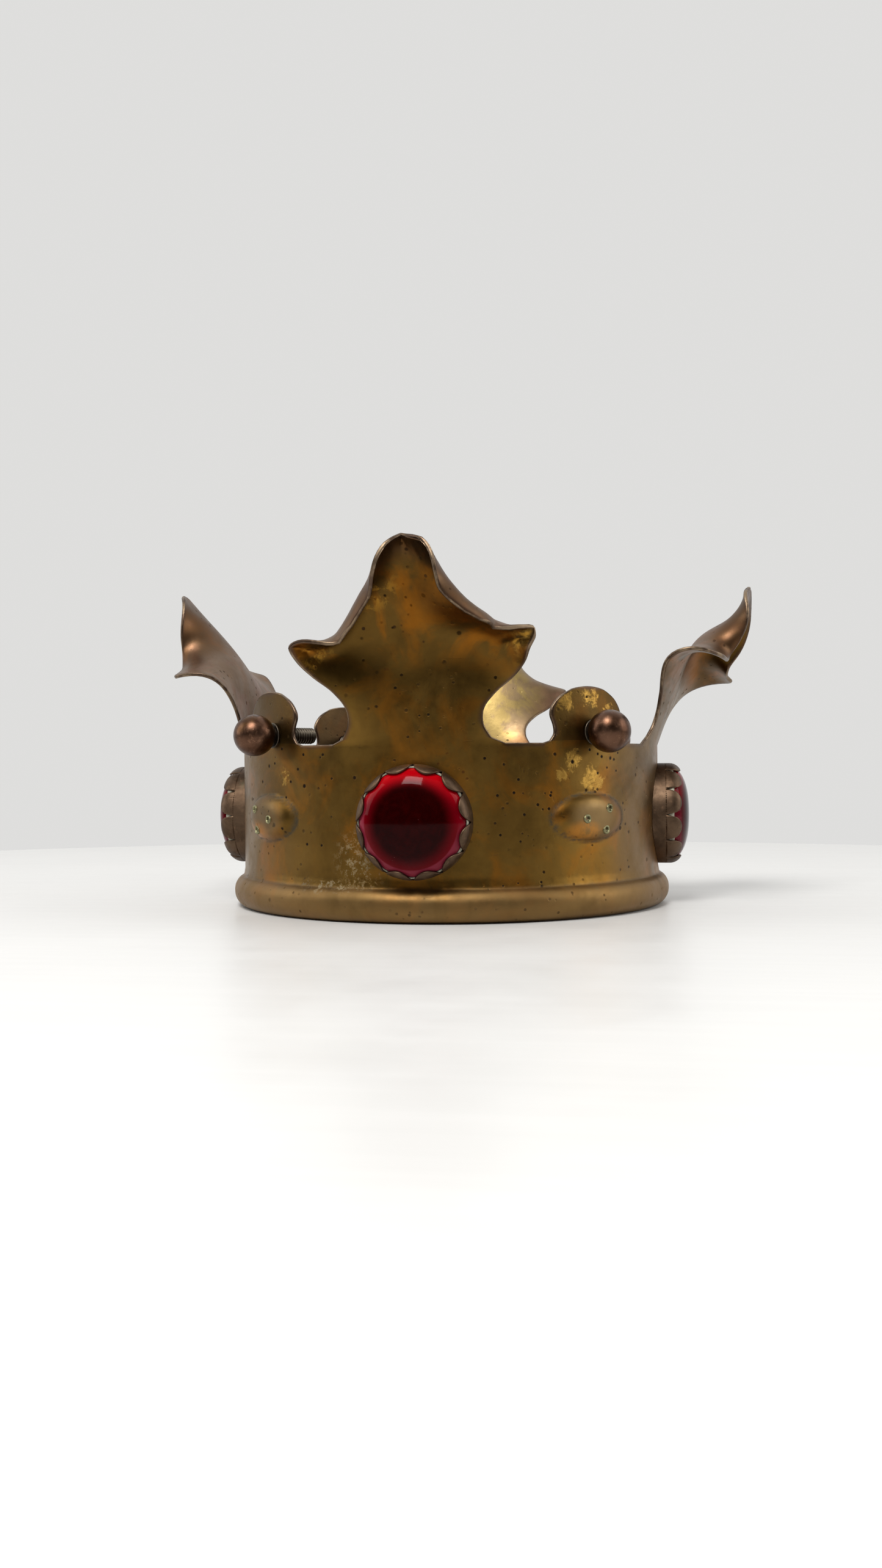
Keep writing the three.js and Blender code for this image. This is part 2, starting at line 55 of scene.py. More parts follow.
# ---- dimensions, mm and degrees -------------------------------------------------------------
BAND_R, SHEET, VALLEY_Z = 55.0, 0.9, 41.0
MID_R = BAND_R - SHEET / 2
LEAF_FOOT, LOBE_FOOT = 20.6, 12.9
BOSS = dict(z=23.6, half_wide=11.1, half_high=5.4, rise=2.0)
GEM_Z, STONE_R, GIRDLE, STONE_TOP, STONE_BASE = 23.2, 12.3, 58.0, 63.1, 57.15
BEZEL_R, CLAWS = 13.1, 12
SCREW_Z, STUD_R, STUD_IN, BALL_R, BALL_AT = 43.6, 2.0, 43.8, 5.0, 60.5
PITCH = 0.7
GEM_AZ = dict(front=0.0, right=90.0, back=180.0, left=-90.0)
SCREW_AZ = dict(front_right=46.0, front_left=-42.5, back_right=135.0, back_left=-135.0)
BAND_SECTION = [
    (52.8, 0.45), (54.7, 0.45), (56.2, 1.15), (57.15, 2.8), (57.2, 5.0), (56.4, 6.6), (55.05, 7.7),
    (54.6, 9.6), (54.55, 14.0), (54.55, 17.8), (54.55, 20.3), (54.55, 23.6), (54.55, 26.9),
    (54.55, 29.4), (54.55, 35.0), (54.55, 41.0),
]
LEAF_ROWS = [
    (17.4, 1.3, 1.7), (15.65, 4.4, 4.8), (15.85, 8.0, 8.4), (18.7, 11.6, 12.0), (23.0, 15.1, 15.6),
    (26.8, 19.4, 19.2), (29.0, 24.0, 22.6), (26.9, 26.5, 25.6), (21.8, 29.0, 29.0), (17.3, 34.0, 33.4),
    (14.2, 39.2, 38.4), (11.0, 43.7, 43.2), (7.6, 47.0, 47.1), (3.3, 49.0, 49.3),
]
UPPER_EDGE = [
    (29.0, 24.0), (28.4, 25.5), (26.9, 26.5), (24.6, 27.4), (21.8, 29.0), (19.3, 31.3), (17.3, 34.0),
    (15.5, 37.0), (13.6, 40.1), (11.5, 43.1), (9.1, 45.8), (6.3, 47.9), (3.3, 49.0), (0.0, 49.3),
]
LOBE_ROWS = [
    (11.2, 0.5, 0.9), (10.1, 2.2, 2.6), (10.3, 4.2, 4.6), (11.1, 6.4, 7.0), (10.7, 8.3, 9.5),
    (8.6, 10.7, 11.7), (5.0, 12.6, 13.3),
]
KNOTS = np.array([0.0, 12.0, 24.0, 36.0, 49.0])
# LEAVES-START
LEAVES = {
    "front": dict(
        lean=[1.2, -1.1, 20.4, 38.5, 31.5],
        curlLeft=[1.0, -0.64, 1.53, -2.55, -0.43],
        curlRight=[1.0, 0.13, 0.01, -5.29, -0.14],
        twist=[0.0, -2.9, -6.5, 9.1, -6.7],
        growLeft=[0.0, 0.12, -4.32, 3.82, -0.66],
        growRight=[0.0, -0.17, -2.28, 16.92, -3.07],
        roll=[2.3, 2.03],
        widen=[1.95, 5.28],
        rollWidth=11.0,
    ),
    "right": dict(
        lean=[19.1, 19.9, 23.7, 63.7, 2.6],
        curlLeft=[1.0, 0.4, 0.31, -1.7, 4.8],
        curlRight=[1.0, -0.28, -1.07, -3.87, 0.88],
        twist=[0.0, 3.5, -2.0, 0.9, 12.2],
        growLeft=[0.0, 0.65, -0.35, -7.34, 0.46],
        growRight=[0.0, 1.07, -1.63, -3.96, 0.43],
        roll=[0.91, 0.0],
        widen=[0.0, 0.0],
        rollWidth=7.5,
    ),
    "back": dict(
        lean=[5.4, 15.2, 26.9, 42.0, 52.0],
        curlLeft=[1.0, -0.71, -1.13, -2.2, -1.34],
        curlRight=[1.0, 0.3, -0.49, -0.97, -1.04],
        twist=[0.0, -2.0, -2.0, -0.6, -0.2],
        growLeft=[0.0, -0.25, 0.07, -2.01, -0.01],
        growRight=[0.0, 0.0, -0.5, 0.0, 0.0],
        roll=[0.49, 2.2],
        widen=[0.0, 0.0],
        rollWidth=11.0,
    ),
    "left": dict(
        lean=[1.7, 3.3, 31.0, 42.3, 41.8],
        curlLeft=[1.0, 0.15, -1.96, -1.11, -2.06],
        curlRight=[1.0, -0.14, -1.41, -5.34, 1.63],
        twist=[0.0, 3.8, -3.0, -6.6, -2.8],
        growLeft=[0.0, -0.42, 3.84, 0.57, -0.22],
        growRight=[0.0, 1.84, -0.06, -0.19, 0.44],
        roll=[0.0, 0.0],
        widen=[-0.31, -0.97],
        rollWidth=7.5,
    ),
}
# LEAVES-END


# ---- bending of the leaves, as in the solids ------------------------------------------------
def catmull(points, n):
    p = np.array(points, float)
    p = np.vstack([2 * p[0] - p[1], p, 2 * p[-1] - p[-2]])
    out = []
    for i in range(1, len(p) - 2):
        a, b, c, d = p[i - 1], p[i], p[i + 1], p[i + 2]
        for k in range(n):
            x = k / n
            out.append(0.5 * (2 * b + (c - a) * x + (2 * a - 5 * b + 4 * c - d) * x * x + (3 * b - a - 3 * c + d) * x**3))
    out.append(p[-2])
    return np.array(out)


def knot(values, t):
    v = np.asarray(values, float)
    t = np.clip(t, KNOTS[0], KNOTS[-1])
    m = np.gradient(v, KNOTS)
    i = np.clip(np.searchsorted(KNOTS, t, side="right") - 1, 0, len(KNOTS) - 2)
    h = KNOTS[i + 1] - KNOTS[i]
    x = (t - KNOTS[i]) / h
    return ((2 * x**3 - 3 * x**2 + 1) * v[i] + (x**3 - 2 * x**2 + x) * h * m[i]
            + (-2 * x**3 + 3 * x**2) * v[i + 1] + (x**3 - x**2) * h * m[i + 1])


EDGE = catmull(UPPER_EDGE, 10)
RUN = np.concatenate([[0], np.cumsum(np.hypot(*np.diff(EDGE, axis=0).T))])
RUN /= RUN[-1]
_t = np.gradient(EDGE, axis=0)
_t /= np.hypot(_t[:, 0], _t[:, 1])[:, None]
OUTWARD = np.stack([_t[:, 1], -_t[:, 0]], 1)
OUTWARD = np.where((OUTWARD[:, :1] + 0.6 * OUTWARD[:, 1:]) < 0, -OUTWARD, OUTWARD)


class Leaf:
    def __init__(self, azimuth, bend):
        self.az = math.radians(azimuth)
        self.b = bend
        self.wide = bend["rollWidth"]
        self.t = np.linspace(0, 49.2, 246)
        a = np.radians(knot(bend["lean"], self.t))
        dt = self.t[1] - self.t[0]
        self.r = MID_R + np.concatenate([[0], np.cumsum(0.5 * (np.sin(a[1:]) + np.sin(a[:-1])) * dt)])
        self.z = VALLEY_Z + np.concatenate([[0], np.cumsum(0.5 * (np.cos(a[1:]) + np.cos(a[:-1])) * dt)])
        self.lean = a
        self.edges = []
        for e in bend["widen"]:
            E = EDGE + OUTWARD * (e * np.sin(np.pi * RUN))[:, None]
            g = np.gradient(E, axis=0)
            g /= np.hypot(g[:, 0], g[:, 1])[:, None]
            n = np.stack([g[:, 1], -g[:, 0]], 1)
            n = np.where((n * OUTWARD).sum(1)[:, None] < 0, -n, n)
            for _ in range(30):
                n[1:-1] = 0.25 * n[:-2] + 0.5 * n[1:-1] + 0.25 * n[2:]
            n /= np.hypot(n[:, 0], n[:, 1])[:, None]
            s = np.concatenate([[0], np.cumsum(np.hypot(*np.diff(E, axis=0).T))])
            self.edges.append((E, n, s / s[-1]))

    def rows(self, side, n):
        """The outline's rows on one side, widened along the upper edge: half width, height, middle height."""
        R = catmull(LEAF_ROWS, n)
        e = self.b["widen"][side]
        up = R[:, 1] > 24.0
        k = ((R[:, None, :2] - EDGE[None]) ** 2).sum(2).argmin(1)
        R[:, :2] += np.where(up[:, None], OUTWARD[k] * (e * np.sin(np.pi * RUN[k]))[:, None], 0)
        return R

    def at(self, u, t):
        u, t = np.asarray(u, float), np.asarray(t, float)
        au, tt = np.abs(u).copy(), t.copy()
        lift = np.zeros_like(au)
        for side, here in ((0, u < 0), (1, u >= 0)):
            turn = self.b["roll"][side]
            if turn < 1e-3 or not here.any():
                continue
            E, n, s = self.edges[side]
            A, T = au[here], tt[here]
            d2 = (A[:, None] - E[None, :, 0]) ** 2 + (T[:, None] - E[None, :, 1]) ** 2
            i = d2.argmin(1)
            best, run, nn = d2[np.arange(len(i)), i], s[i].copy(), n[i].copy()
            for j in (i - 1, i):
                j = np.clip(j, 0, len(E) - 2)
                P, Q = E[j], E[j + 1]
                D = Q - P
                x = np.clip(((A - P[:, 0]) * D[:, 0] + (T - P[:, 1]) * D[:, 1]) / (D**2).sum(1), 0, 1)
                N = P + D * x[:, None]
                dd = (A - N[:, 0]) ** 2 + (T - N[:, 1]) ** 2
                m = dd < best
                best = np.where(m, dd, best)
                run = np.where(m, s[j] * (1 - x) + s[j + 1] * x, run)
                nn = np.where(m[:, None], n[j] * (1 - x)[:, None] + n[j + 1] * x[:, None], nn)
            w = np.clip(run / 0.25, 0, 1) ** 1.3 * (1 - np.clip((run - 0.6) / 0.4, 0, 1) ** 1.5)
            a = np.clip(self.wide - np.sqrt(best), 0, self.wide)
            rho = self.wide / np.maximum(turn * w, 1e-4)
            th = a / rho
            shift = rho * np.sin(th) - a
            au[here] = A + nn[:, 0] * shift
            tt[here] = T + nn[:, 1] * shift
            lift[here] = rho * (1 - np.cos(th))
        sg = np.where(u < 0, -1.0, 1.0)
        tc = np.clip(tt, 0, 49.2)
        rc, zc = np.interp(tc, self.t, self.r), np.interp(tc, self.t, self.z) + np.minimum(tt, 0)
        al, tw = np.interp(tc, self.t, self.lean), np.radians(knot(self.b["twist"], tc))
        k1 = np.where(u < 0, knot(self.b["curlLeft"], tc), knot(self.b["curlRight"], tc)) / MID_R
        c = np.where(u < 0, knot(self.b["growLeft"], tc), knot(self.b["growRight"], tc)) / MID_R / 20
        X, Y = np.zeros_like(au), np.zeros_like(au)
        for i in range(12):
            q = (i + 0.5) / 12 * au
            th = k1 * q + c * q * q / 2
            X += np.cos(th) * au / 12
            Y -= np.sin(th) * au / 12
        X *= sg
        er = np.array([math.sin(self.az), -math.cos(self.az), 0])
        ep = np.array([math.cos(self.az), math.sin(self.az), 0])
        ez = np.array([0, 0, 1.0])
        out = np.cos(al)[:, None] * er - np.sin(al)[:, None] * ez
        across = np.cos(tw)[:, None] * ep + np.sin(tw)[:, None] * out
        away = -np.sin(tw)[:, None] * ep + np.cos(tw)[:, None] * out
        thU = k1 * au + c * au * au / 2
        normal = np.cos(thU)[:, None] * away + (np.sin(thU) * sg)[:, None] * across
        return rc[:, None] * er + zc[:, None] * ez + X[:, None] * across + Y[:, None] * away + normal * lift[:, None]


# ---- mesh helpers ---------------------------------------------------------------------------
def make(name, verts, faces, body, mats, smooth=True, attrs=None, mat_index=None):
    me = bpy.data.meshes.new(name)
    me.from_pydata([tuple(v) for v in np.asarray(verts) * MM], [], [tuple(f) for f in faces])
    for m in mats:
        me.materials.append(m)
    if mat_index is not None:
        me.polygons.foreach_set("material_index", np.asarray(mat_index, np.int32))
    if smooth:
        me.polygons.foreach_set("use_smooth", np.ones(len(me.polygons), bool))
    for k, v in (attrs or {}).items():
        a = me.attributes.new(k, "FLOAT", "POINT")
        a.data.foreach_set("value", np.asarray(v, np.float32))
    me.update()
    o = bpy.data.objects.new(name, me)
    bpy.context.scene.collection.objects.link(o)
    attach(o, body)
    return o


def radial(azimuth, z):
    a = math.radians(azimuth)
    M = np.array([[math.cos(a), 0, math.sin(a)], [math.sin(a), 0, -math.cos(a)], [0, 1, 0]])
    return M, np.array([0, 0, z], float)


def place(points, azimuth, z):
    M, o = radial(azimuth, z)
    return np.asarray(points, float) @ M.T + o


def lathe(profile, n, closed=False):
    """Rings of (radius, height) about local +Z; a point on the axis closes to a fan."""
    V, F, rings = [], [], []
    for r, h in profile:
        if r < 1e-6:
            rings.append([len(V)] * n)
            V.append((0, 0, h))
        else:
            rings.append(list(range(len(V), len(V) + n)))
            V += [(r * math.cos(2 * math.pi * i / n), r * math.sin(2 * math.pi * i / n), h) for i in range(n)]
    for a, b in zip(rings, rings[1:] + ([rings[0]] if closed else [])):
        for i in range(n):
            q = [a[i], a[(i + 1) % n], b[(i + 1) % n], b[i]]
            q = [x for k, x in enumerate(q) if x not in q[:k]]
            if len(q) > 2:
                F.append(q)
    return V, F


# ---- shell ----------------------------------------------------------------------------------
QUARTER = math.pi * MID_R / 2
N_LEAF, N_LOBE, N_GAP = 48, 28, 6


def boss_rise(arc, z):
    d = (arc - QUARTER / 2 + 2 * QUARTER) % QUARTER
    d = np.minimum(d, QUARTER - d)
    e = (d / BOSS["half_wide"]) ** 2 + ((z - BOSS["z"]) / BOSS["half_high"]) ** 2
    return np.where(e < 1, BOSS["rise"] * (1 - np.minimum(e, 1) ** 2.4), 0)


def build_shell():
    pts, arcs, hgts, zone, quads = [], [], [], [], []

    def add(P, arc, h, kind):
        first = len(pts)
        for p, a, k in zip(P, arc, h):
            pts.append(p)
            arcs.append(a)
            hgts.append(k)
            zone.append(kind)
        return list(range(first, len(pts)))

    columns, tags = [], []
    for q in range(4):
        c = q * QUARTER
        lobe = c + QUARTER / 2
        for x in np.linspace(c - LEAF_FOOT, c + LEAF_FOOT, N_LEAF + 1):
            columns.append(x)
            tags.append(("leaf", q))
        for x in np.linspace(c + LEAF_FOOT, lobe - LOBE_FOOT, N_GAP + 1)[1:-1]:
            columns.append(x)
            tags.append(None)
        for x in np.linspace(lobe - LOBE_FOOT, lobe + LOBE_FOOT, N_LOBE + 1):
            columns.append(x)
            tags.append(("lobe", q))
        for x in np.linspace(lobe + LOBE_FOOT, c + QUARTER - LEAF_FOOT, N_GAP + 1)[1:-1]:
            columns.append(x)
            tags.append(None)
    columns = np.array(columns)
    n = len(columns)
    low = catmull(BAND_SECTION[:8], 5)
    high = np.stack([np.full(46, MID_R), np.linspace(9.6, 41.0, 46)], 1)[1:]
    section = np.vstack([low, high])
    section[:, 1] = np.maximum(section[:, 1], 0.45)
    band = []
    for r, z in section:
        a = columns / MID_R
        rr = r + boss_rise(columns, np.full(n, z))
        P = np.stack([rr * np.sin(a), -rr * np.cos(a), np.full(n, z)], 1)
        band.append(add(P, columns, np.full(n, z), 0))
    for j in range(len(band) - 1):
        for i in range(n):
            k = (i + 1) % n
            quads.append((band[j][i], band[j][k], band[j + 1][k], band[j + 1][i]))
    top = band[-1]
    for q in range(4):
        leaf = Leaf(q * 90, LEAVES[("front", "right", "back", "left")[q]])
        below = [top[k] for k in range(n) if tags[k] == ("leaf", q)]
        sp = np.linspace(-1, 1, N_LEAF + 1)
        L, R = leaf.rows(0, 5), leaf.rows(1, 5)
        for (wl, tl, cl), (wr, tr, cr) in zip(L, R):
            u = np.where(sp < 0, sp * wl, sp * wr)
            c = (cl + cr) / 2
            t = np.where(sp < 0, c + (tl - c) * sp * sp, c + (tr - c) * sp * sp)
            row = add(leaf.at(u, t), q * QUARTER + u, VALLEY_Z + t, 1)
            for i in range(N_LEAF):
                quads.append((below[i], below[i + 1], row[i + 1], row[i]))
            below = row
        foot = [top[k] for k in range(n) if tags[k] == ("lobe", q)]
        sp = np.linspace(-1, 1, N_LOBE + 1)
        for w, t, c in catmull(LOBE_ROWS, 4):
            u, h = sp * w, c + (t - c) * sp * sp
            a = (q + 0.5) * math.pi / 2 + u / MID_R
            P = np.stack([MID_R * np.sin(a), -MID_R * np.cos(a), VALLEY_Z + h], 1)
            row = add(P, (q + 0.5) * QUARTER + u, VALLEY_Z + h, 2)
            for i in range(N_LOBE):
                quads.append((foot[i], foot[i + 1], row[i + 1], row[i]))
            foot = row
    P = np.array(pts)
    Q = np.array(quads)
    nr = np.cross(P[Q[:, 2]] - P[Q[:, 0]], P[Q[:, 3]] - P[Q[:, 1]])
    N = np.zeros_like(P)
    for k in range(4):
        np.add.at(N, Q[:, k], nr)
    N /= np.maximum(np.linalg.norm(N, axis=1), 1e-12)[:, None]
    # the free edge
    used = {}
    for a, b, c, d in quads:
        for e in ((a, b), (b, c), (c, d), (d, a)):
            used[e] = 1
    rim = [e for e in used if (e[1], e[0]) not in used]
    after = dict(rim)
    before = {b: a for a, b in rim}
    # distance from the free edge, walked over the net
    dist = np.full(len(P), 1e9)
    dist[list(after)] = 0
    E = np.array([(a, b) for a, b in used if a < b or (b, a) not in used])
    ln = np.linalg.norm(P[E[:, 0]] - P[E[:, 1]], axis=1)
    for _ in range(14):
        np.minimum.at(dist, E[:, 1], dist[E[:, 0]] + ln)
        np.minimum.at(dist, E[:, 0], dist[E[:, 1]] + ln)
    dist = np.minimum(dist, 8)
    half = SHEET / 2
    count = len(P)
    inset = np.zeros_like(P)
    for v in after:
        run = P[after[v]] - P[before[v]]
        e = np.cross(run, N[v])
        inset[v] = e / max(np.linalg.norm(e), 1e-9) * 0.21
    outer, inner = P + N * half - inset, P - N * half - inset
    flat = P[:, 2] < 0.5
    outer[flat, 2] = 0.0
    V = list(outer) + list(inner)
    F, M = [], []
    for a, b, c, d in quads:
        F.append((a, b, c, d))
        M.append(0)
        F.append((d + count, c + count, b + count, a + count))
        M.append(1)
    mid = {}
    for v in after:
        mid[v] = len(V)
        V.append(P[v] + N[v] * half * 0.55)
        V.append(P[v] - N[v] * half * 0.55)
        if P[v, 2] < 0.5:
            V[-2][2] = max(V[-2][2], 0.0)
    for a, b in rim:
        for x, y in (((a, b), (mid[a], mid[b])), ((mid[a], mid[b]), (mid[a] + 1, mid[b] + 1)),
                     ((mid[a] + 1, mid[b] + 1), (a + count, b + count))):
            F.append((x[0], y[0], y[1], x[1]))
            M.append(2)
    arcs_, hg, zn = np.array(arcs), np.array(hgts), np.array(zone)
    ids = np.concatenate([np.arange(count), np.arange(count), np.repeat(list(after), 2)])
    attrs = dict(arc=arcs_[ids], hgt=hg[ids], rim=dist[ids], zone=zn[ids])
    return np.array(V), F, M, attrs


# ---- node helper ----------------------------------------------------------------------------
class Nodes:
    def __init__(self, name):
        self.m = bpy.data.materials.new(name)
        self.m.use_nodes = True
        self.t = self.m.node_tree
        self.bsdf = self.t.nodes["Principled BSDF"]
        self.co = self.t.nodes.new("ShaderNodeTexCoord").outputs["Object"]

    def put(self, socket, value):
        if hasattr(value, "is_linked") or isinstance(value, bpy.types.NodeSocket):
            self.t.links.new(value, socket)
        else:
            socket.default_value = value

    def math(self, op, a, b=0.0, c=0.0, clamp=False):
        n = self.t.nodes.new("ShaderNodeMath")
        n.operation, n.use_clamp = op, clamp
        for s, v in zip(n.inputs, (a, b, c)):
            self.put(s, v)
        return n.outputs[0]

    def attr(self, name):
        n = self.t.nodes.new("ShaderNodeAttribute")
        n.attribute_name = name
        return n.outputs["Fac"]

    def mapped(self, scale=(1, 1, 1), rot=(0, 0, 0), loc=(0, 0, 0)):
        n = self.t.nodes.new("ShaderNodeMapping")
        self.put(n.inputs["Vector"], self.co)
        n.inputs["Scale"].default_value = scale
        n.inputs["Rotation"].default_value = rot
        n.inputs["Location"].default_value = loc
        return n.outputs[0]

    def noise(self, scale, detail=4, rough=0.55, vec=None, distort=0.0, seed=0.0):
        n = self.t.nodes.new("ShaderNodeTexNoise")
        n.noise_dimensions = "4D"
        self.put(n.inputs["Vector"], vec if vec is not None else self.co)
        n.inputs["W"].default_value = seed
        n.inputs["Scale"].default_value = scale
        n.inputs["Detail"].default_value = detail
        n.inputs["Roughness"].default_value = rough
        n.inputs["Distortion"].default_value = distort
        return n.outputs["Fac"]

    def voronoi(self, scale, vec=None, feature="F1"):
        n = self.t.nodes.new("ShaderNodeTexVoronoi")
        n.feature = feature
        self.put(n.inputs["Vector"], vec if vec is not None else self.co)
        n.inputs["Scale"].default_value = scale
        return n.outputs["Distance"]

    def ramp(self, value, lo, hi, a=0.0, b=1.0):
        n = self.t.nodes.new("ShaderNodeMapRange")
        n.interpolation_type = "SMOOTHSTEP"
        self.put(n.inputs["Value"], value)
        for k, v in (("From Min", lo), ("From Max", hi), ("To Min", a), ("To Max", b)):
            self.put(n.inputs[k], v)
        return n.outputs["Result"]

    def mix(self, fac, a, b):
        n = self.t.nodes.new("ShaderNodeMix")
        n.data_type = "RGBA"
        self.put(n.inputs["Factor"], fac)
        for s, v in ((n.inputs[6], a), (n.inputs[7], b)):
            self.put(s, v if not isinstance(v, tuple) else (*v[:3], 1.0))
        return n.outputs[2]

    def near(self, p, radius, soft=0.4, squash=(1, 1, 1)):
        """1 close to a point given in mm, falling to 0 at the radius."""
        s = tuple(1000 / radius * q for q in squash)
        n = self.t.nodes.new("ShaderNodeMapping")
        self.put(n.inputs["Vector"], self.co)
        n.inputs["Scale"].default_value = s
        n.inputs["Location"].default_value = tuple(-c / radius * q for c, q in zip(p, squash))
        d = self.t.nodes.new("ShaderNodeVectorMath")
        d.operation = "LENGTH"
        self.t.links.new(n.outputs[0], d.inputs[0])
        return self.ramp(d.outputs["Value"], 1.0, soft)

    def bump(self, height, strength, distance, after=None):
        n = self.t.nodes.new("ShaderNodeBump")
        n.inputs["Strength"].default_value = strength
        n.inputs["Distance"].default_value = distance
        self.put(n.inputs["Height"], height)
        if after is not None:
            self.t.links.new(after, n.inputs["Normal"])
        return n.outputs[0]

    def done(self, color, rough, metal=1.0, normal=None, **const):
        b = self.bsdf.inputs
        self.put(b["Base Color"], color if not isinstance(color, tuple) else (*color, 1))
        self.put(b["Roughness"], rough)
        self.put(b["Metallic"], metal)
        if normal is not None:
            self.t.links.new(normal, b["Normal"])
        for k, v in const.items():
            b[k.replace("_", " ")].default_value = v
        return self.m


def polar(az, r, z):
    a = math.radians(az)
    return (r * math.sin(a), -r * math.cos(a), z)


def surface(n, base, patches, dark, gold_gain, pit_gain=1.0):
    """Tarnish, rubbed gold at the given patches (on the outside one of them is a painted highlight), pits, spots and
    scratches shared by the brass faces.
    """
    big = n.noise(38, 5, 0.6, distort=0.6, seed=1)
    fine = n.noise(170, 6, 0.65, distort=0.3, seed=2)
    grain = n.noise(900, 3, 0.6, seed=3)
    warm = n.ramp(n.noise(62, 5, 0.62, distort=1.2, seed=4), 0.47, 0.66)
    col = n.mix(n.ramp(big, 0.36, 0.64), base[0], base[1])
    col = n.mix(n.math("MULTIPLY", warm, 0.75), col, base[2])
    col = n.mix(n.math("MULTIPLY", n.ramp(fine, 0.56, 0.75), 0.45), col, base[0])
    blot = n.ramp(n.noise(120, 6, 0.7, distort=0.5, seed=6), 0.66, 0.74)
    col = n.mix(n.math("MULTIPLY", blot, 0.7), col, dark)
    gold = None
    for p, r, sq in patches:
        m = n.near(p, r, 0.25, sq)
        gold = m if gold is None else n.math("MAXIMUM", gold, m)
    ragged = n.noise(240, 8, 0.78, distort=1.1, seed=7)
    grains = n.ramp(n.noise(950, 4, 0.7, seed=13), 0.42, 0.58)
    if gold is not None:
        field = n.math("ADD", gold, n.math("MULTIPLY", n.math("SUBTRACT", ragged, 0.52), 4.4))
        rub = n.math("MULTIPLY", n.ramp(field, 0.62, 0.95), gold_gain)
    else:
        rub = 0.0
    stray = n.ramp(n.noise(120, 8, 0.78, distort=1.2, seed=8), 0.70, 0.77)
    rub = n.math("MAXIMUM", rub, n.math("MULTIPLY", stray, 0.45))
    rub = n.math("MULTIPLY", rub, n.math("ADD", n.math("MULTIPLY", grains, 0.45), 0.55))
    col = n.mix(rub, col, (0.46, 0.265, 0.056))
    pit = n.math("MULTIPLY", n.ramp(n.voronoi(430), 0.20, 0.11), n.ramp(n.noise(85, 3, 0.6, seed=9), 0.47, 0.56))
    pit2 = n.math("MULTIPLY", n.ramp(n.voronoi(190), 0.13, 0.06), n.ramp(n.noise(40, 2, 0.5, seed=10), 0.42, 0.52))
    pit = n.math("MULTIPLY", n.math("MAXIMUM", pit, pit2), pit_gain)
    col = n.mix(pit, col, (0.016, 0.011, 0.008))
    spot = n.math("MULTIPLY", n.ramp(n.voronoi(95), 0.14, 0.07), n.ramp(n.noise(50, 2, 0.5, seed=11), 0.60, 0.68))
    col = n.mix(n.math("MULTIPLY", spot, 0.6), col, (0.20, 0.22, 0.14))
    lines = []
    for k, (rot, sc) in enumerate((((0.3, 0.5, 0.2), (30, 1600, 500)), ((1.2, -0.4, 0.8), (1500, 26, 400)),
                                   ((0.1, 0.2, -0.7), (40, 900, 1300)))):
        lines.append(n.ramp(n.noise(1.0, 2, 0.5, vec=n.mapped(sc, rot), seed=20 + k), 0.685, 0.73))
    line = n.math("MAXIMUM", n.math("MAXIMUM", lines[0], lines[1]), lines[2])
    line = n.math("MULTIPLY", line, n.ramp(n.noise(45, 3, 0.6, seed=14), 0.45, 0.6))
    col = n.mix(n.math("MULTIPLY", line, 0.35), col, (0.05, 0.035, 0.02))
    rough = n.ramp(fine, 0.3, 0.75, 0.33, 0.50)
    rough = n.math("ADD", rough, n.math("MULTIPLY", pit, 0.35))
    rough = n.math("SUBTRACT", rough, n.math("MULTIPLY", rub, 0.08))
    h = n.math("ADD", n.math("MULTIPLY", fine, 0.35), n.math("MULTIPLY", grain, 0.18))
    h = n.math("SUBTRACT", h, n.math("MULTIPLY", pit, 0.9))
    h = n.math("SUBTRACT", h, n.math("MULTIPLY", line, 0.25))
    return col, rough, h, big, rub


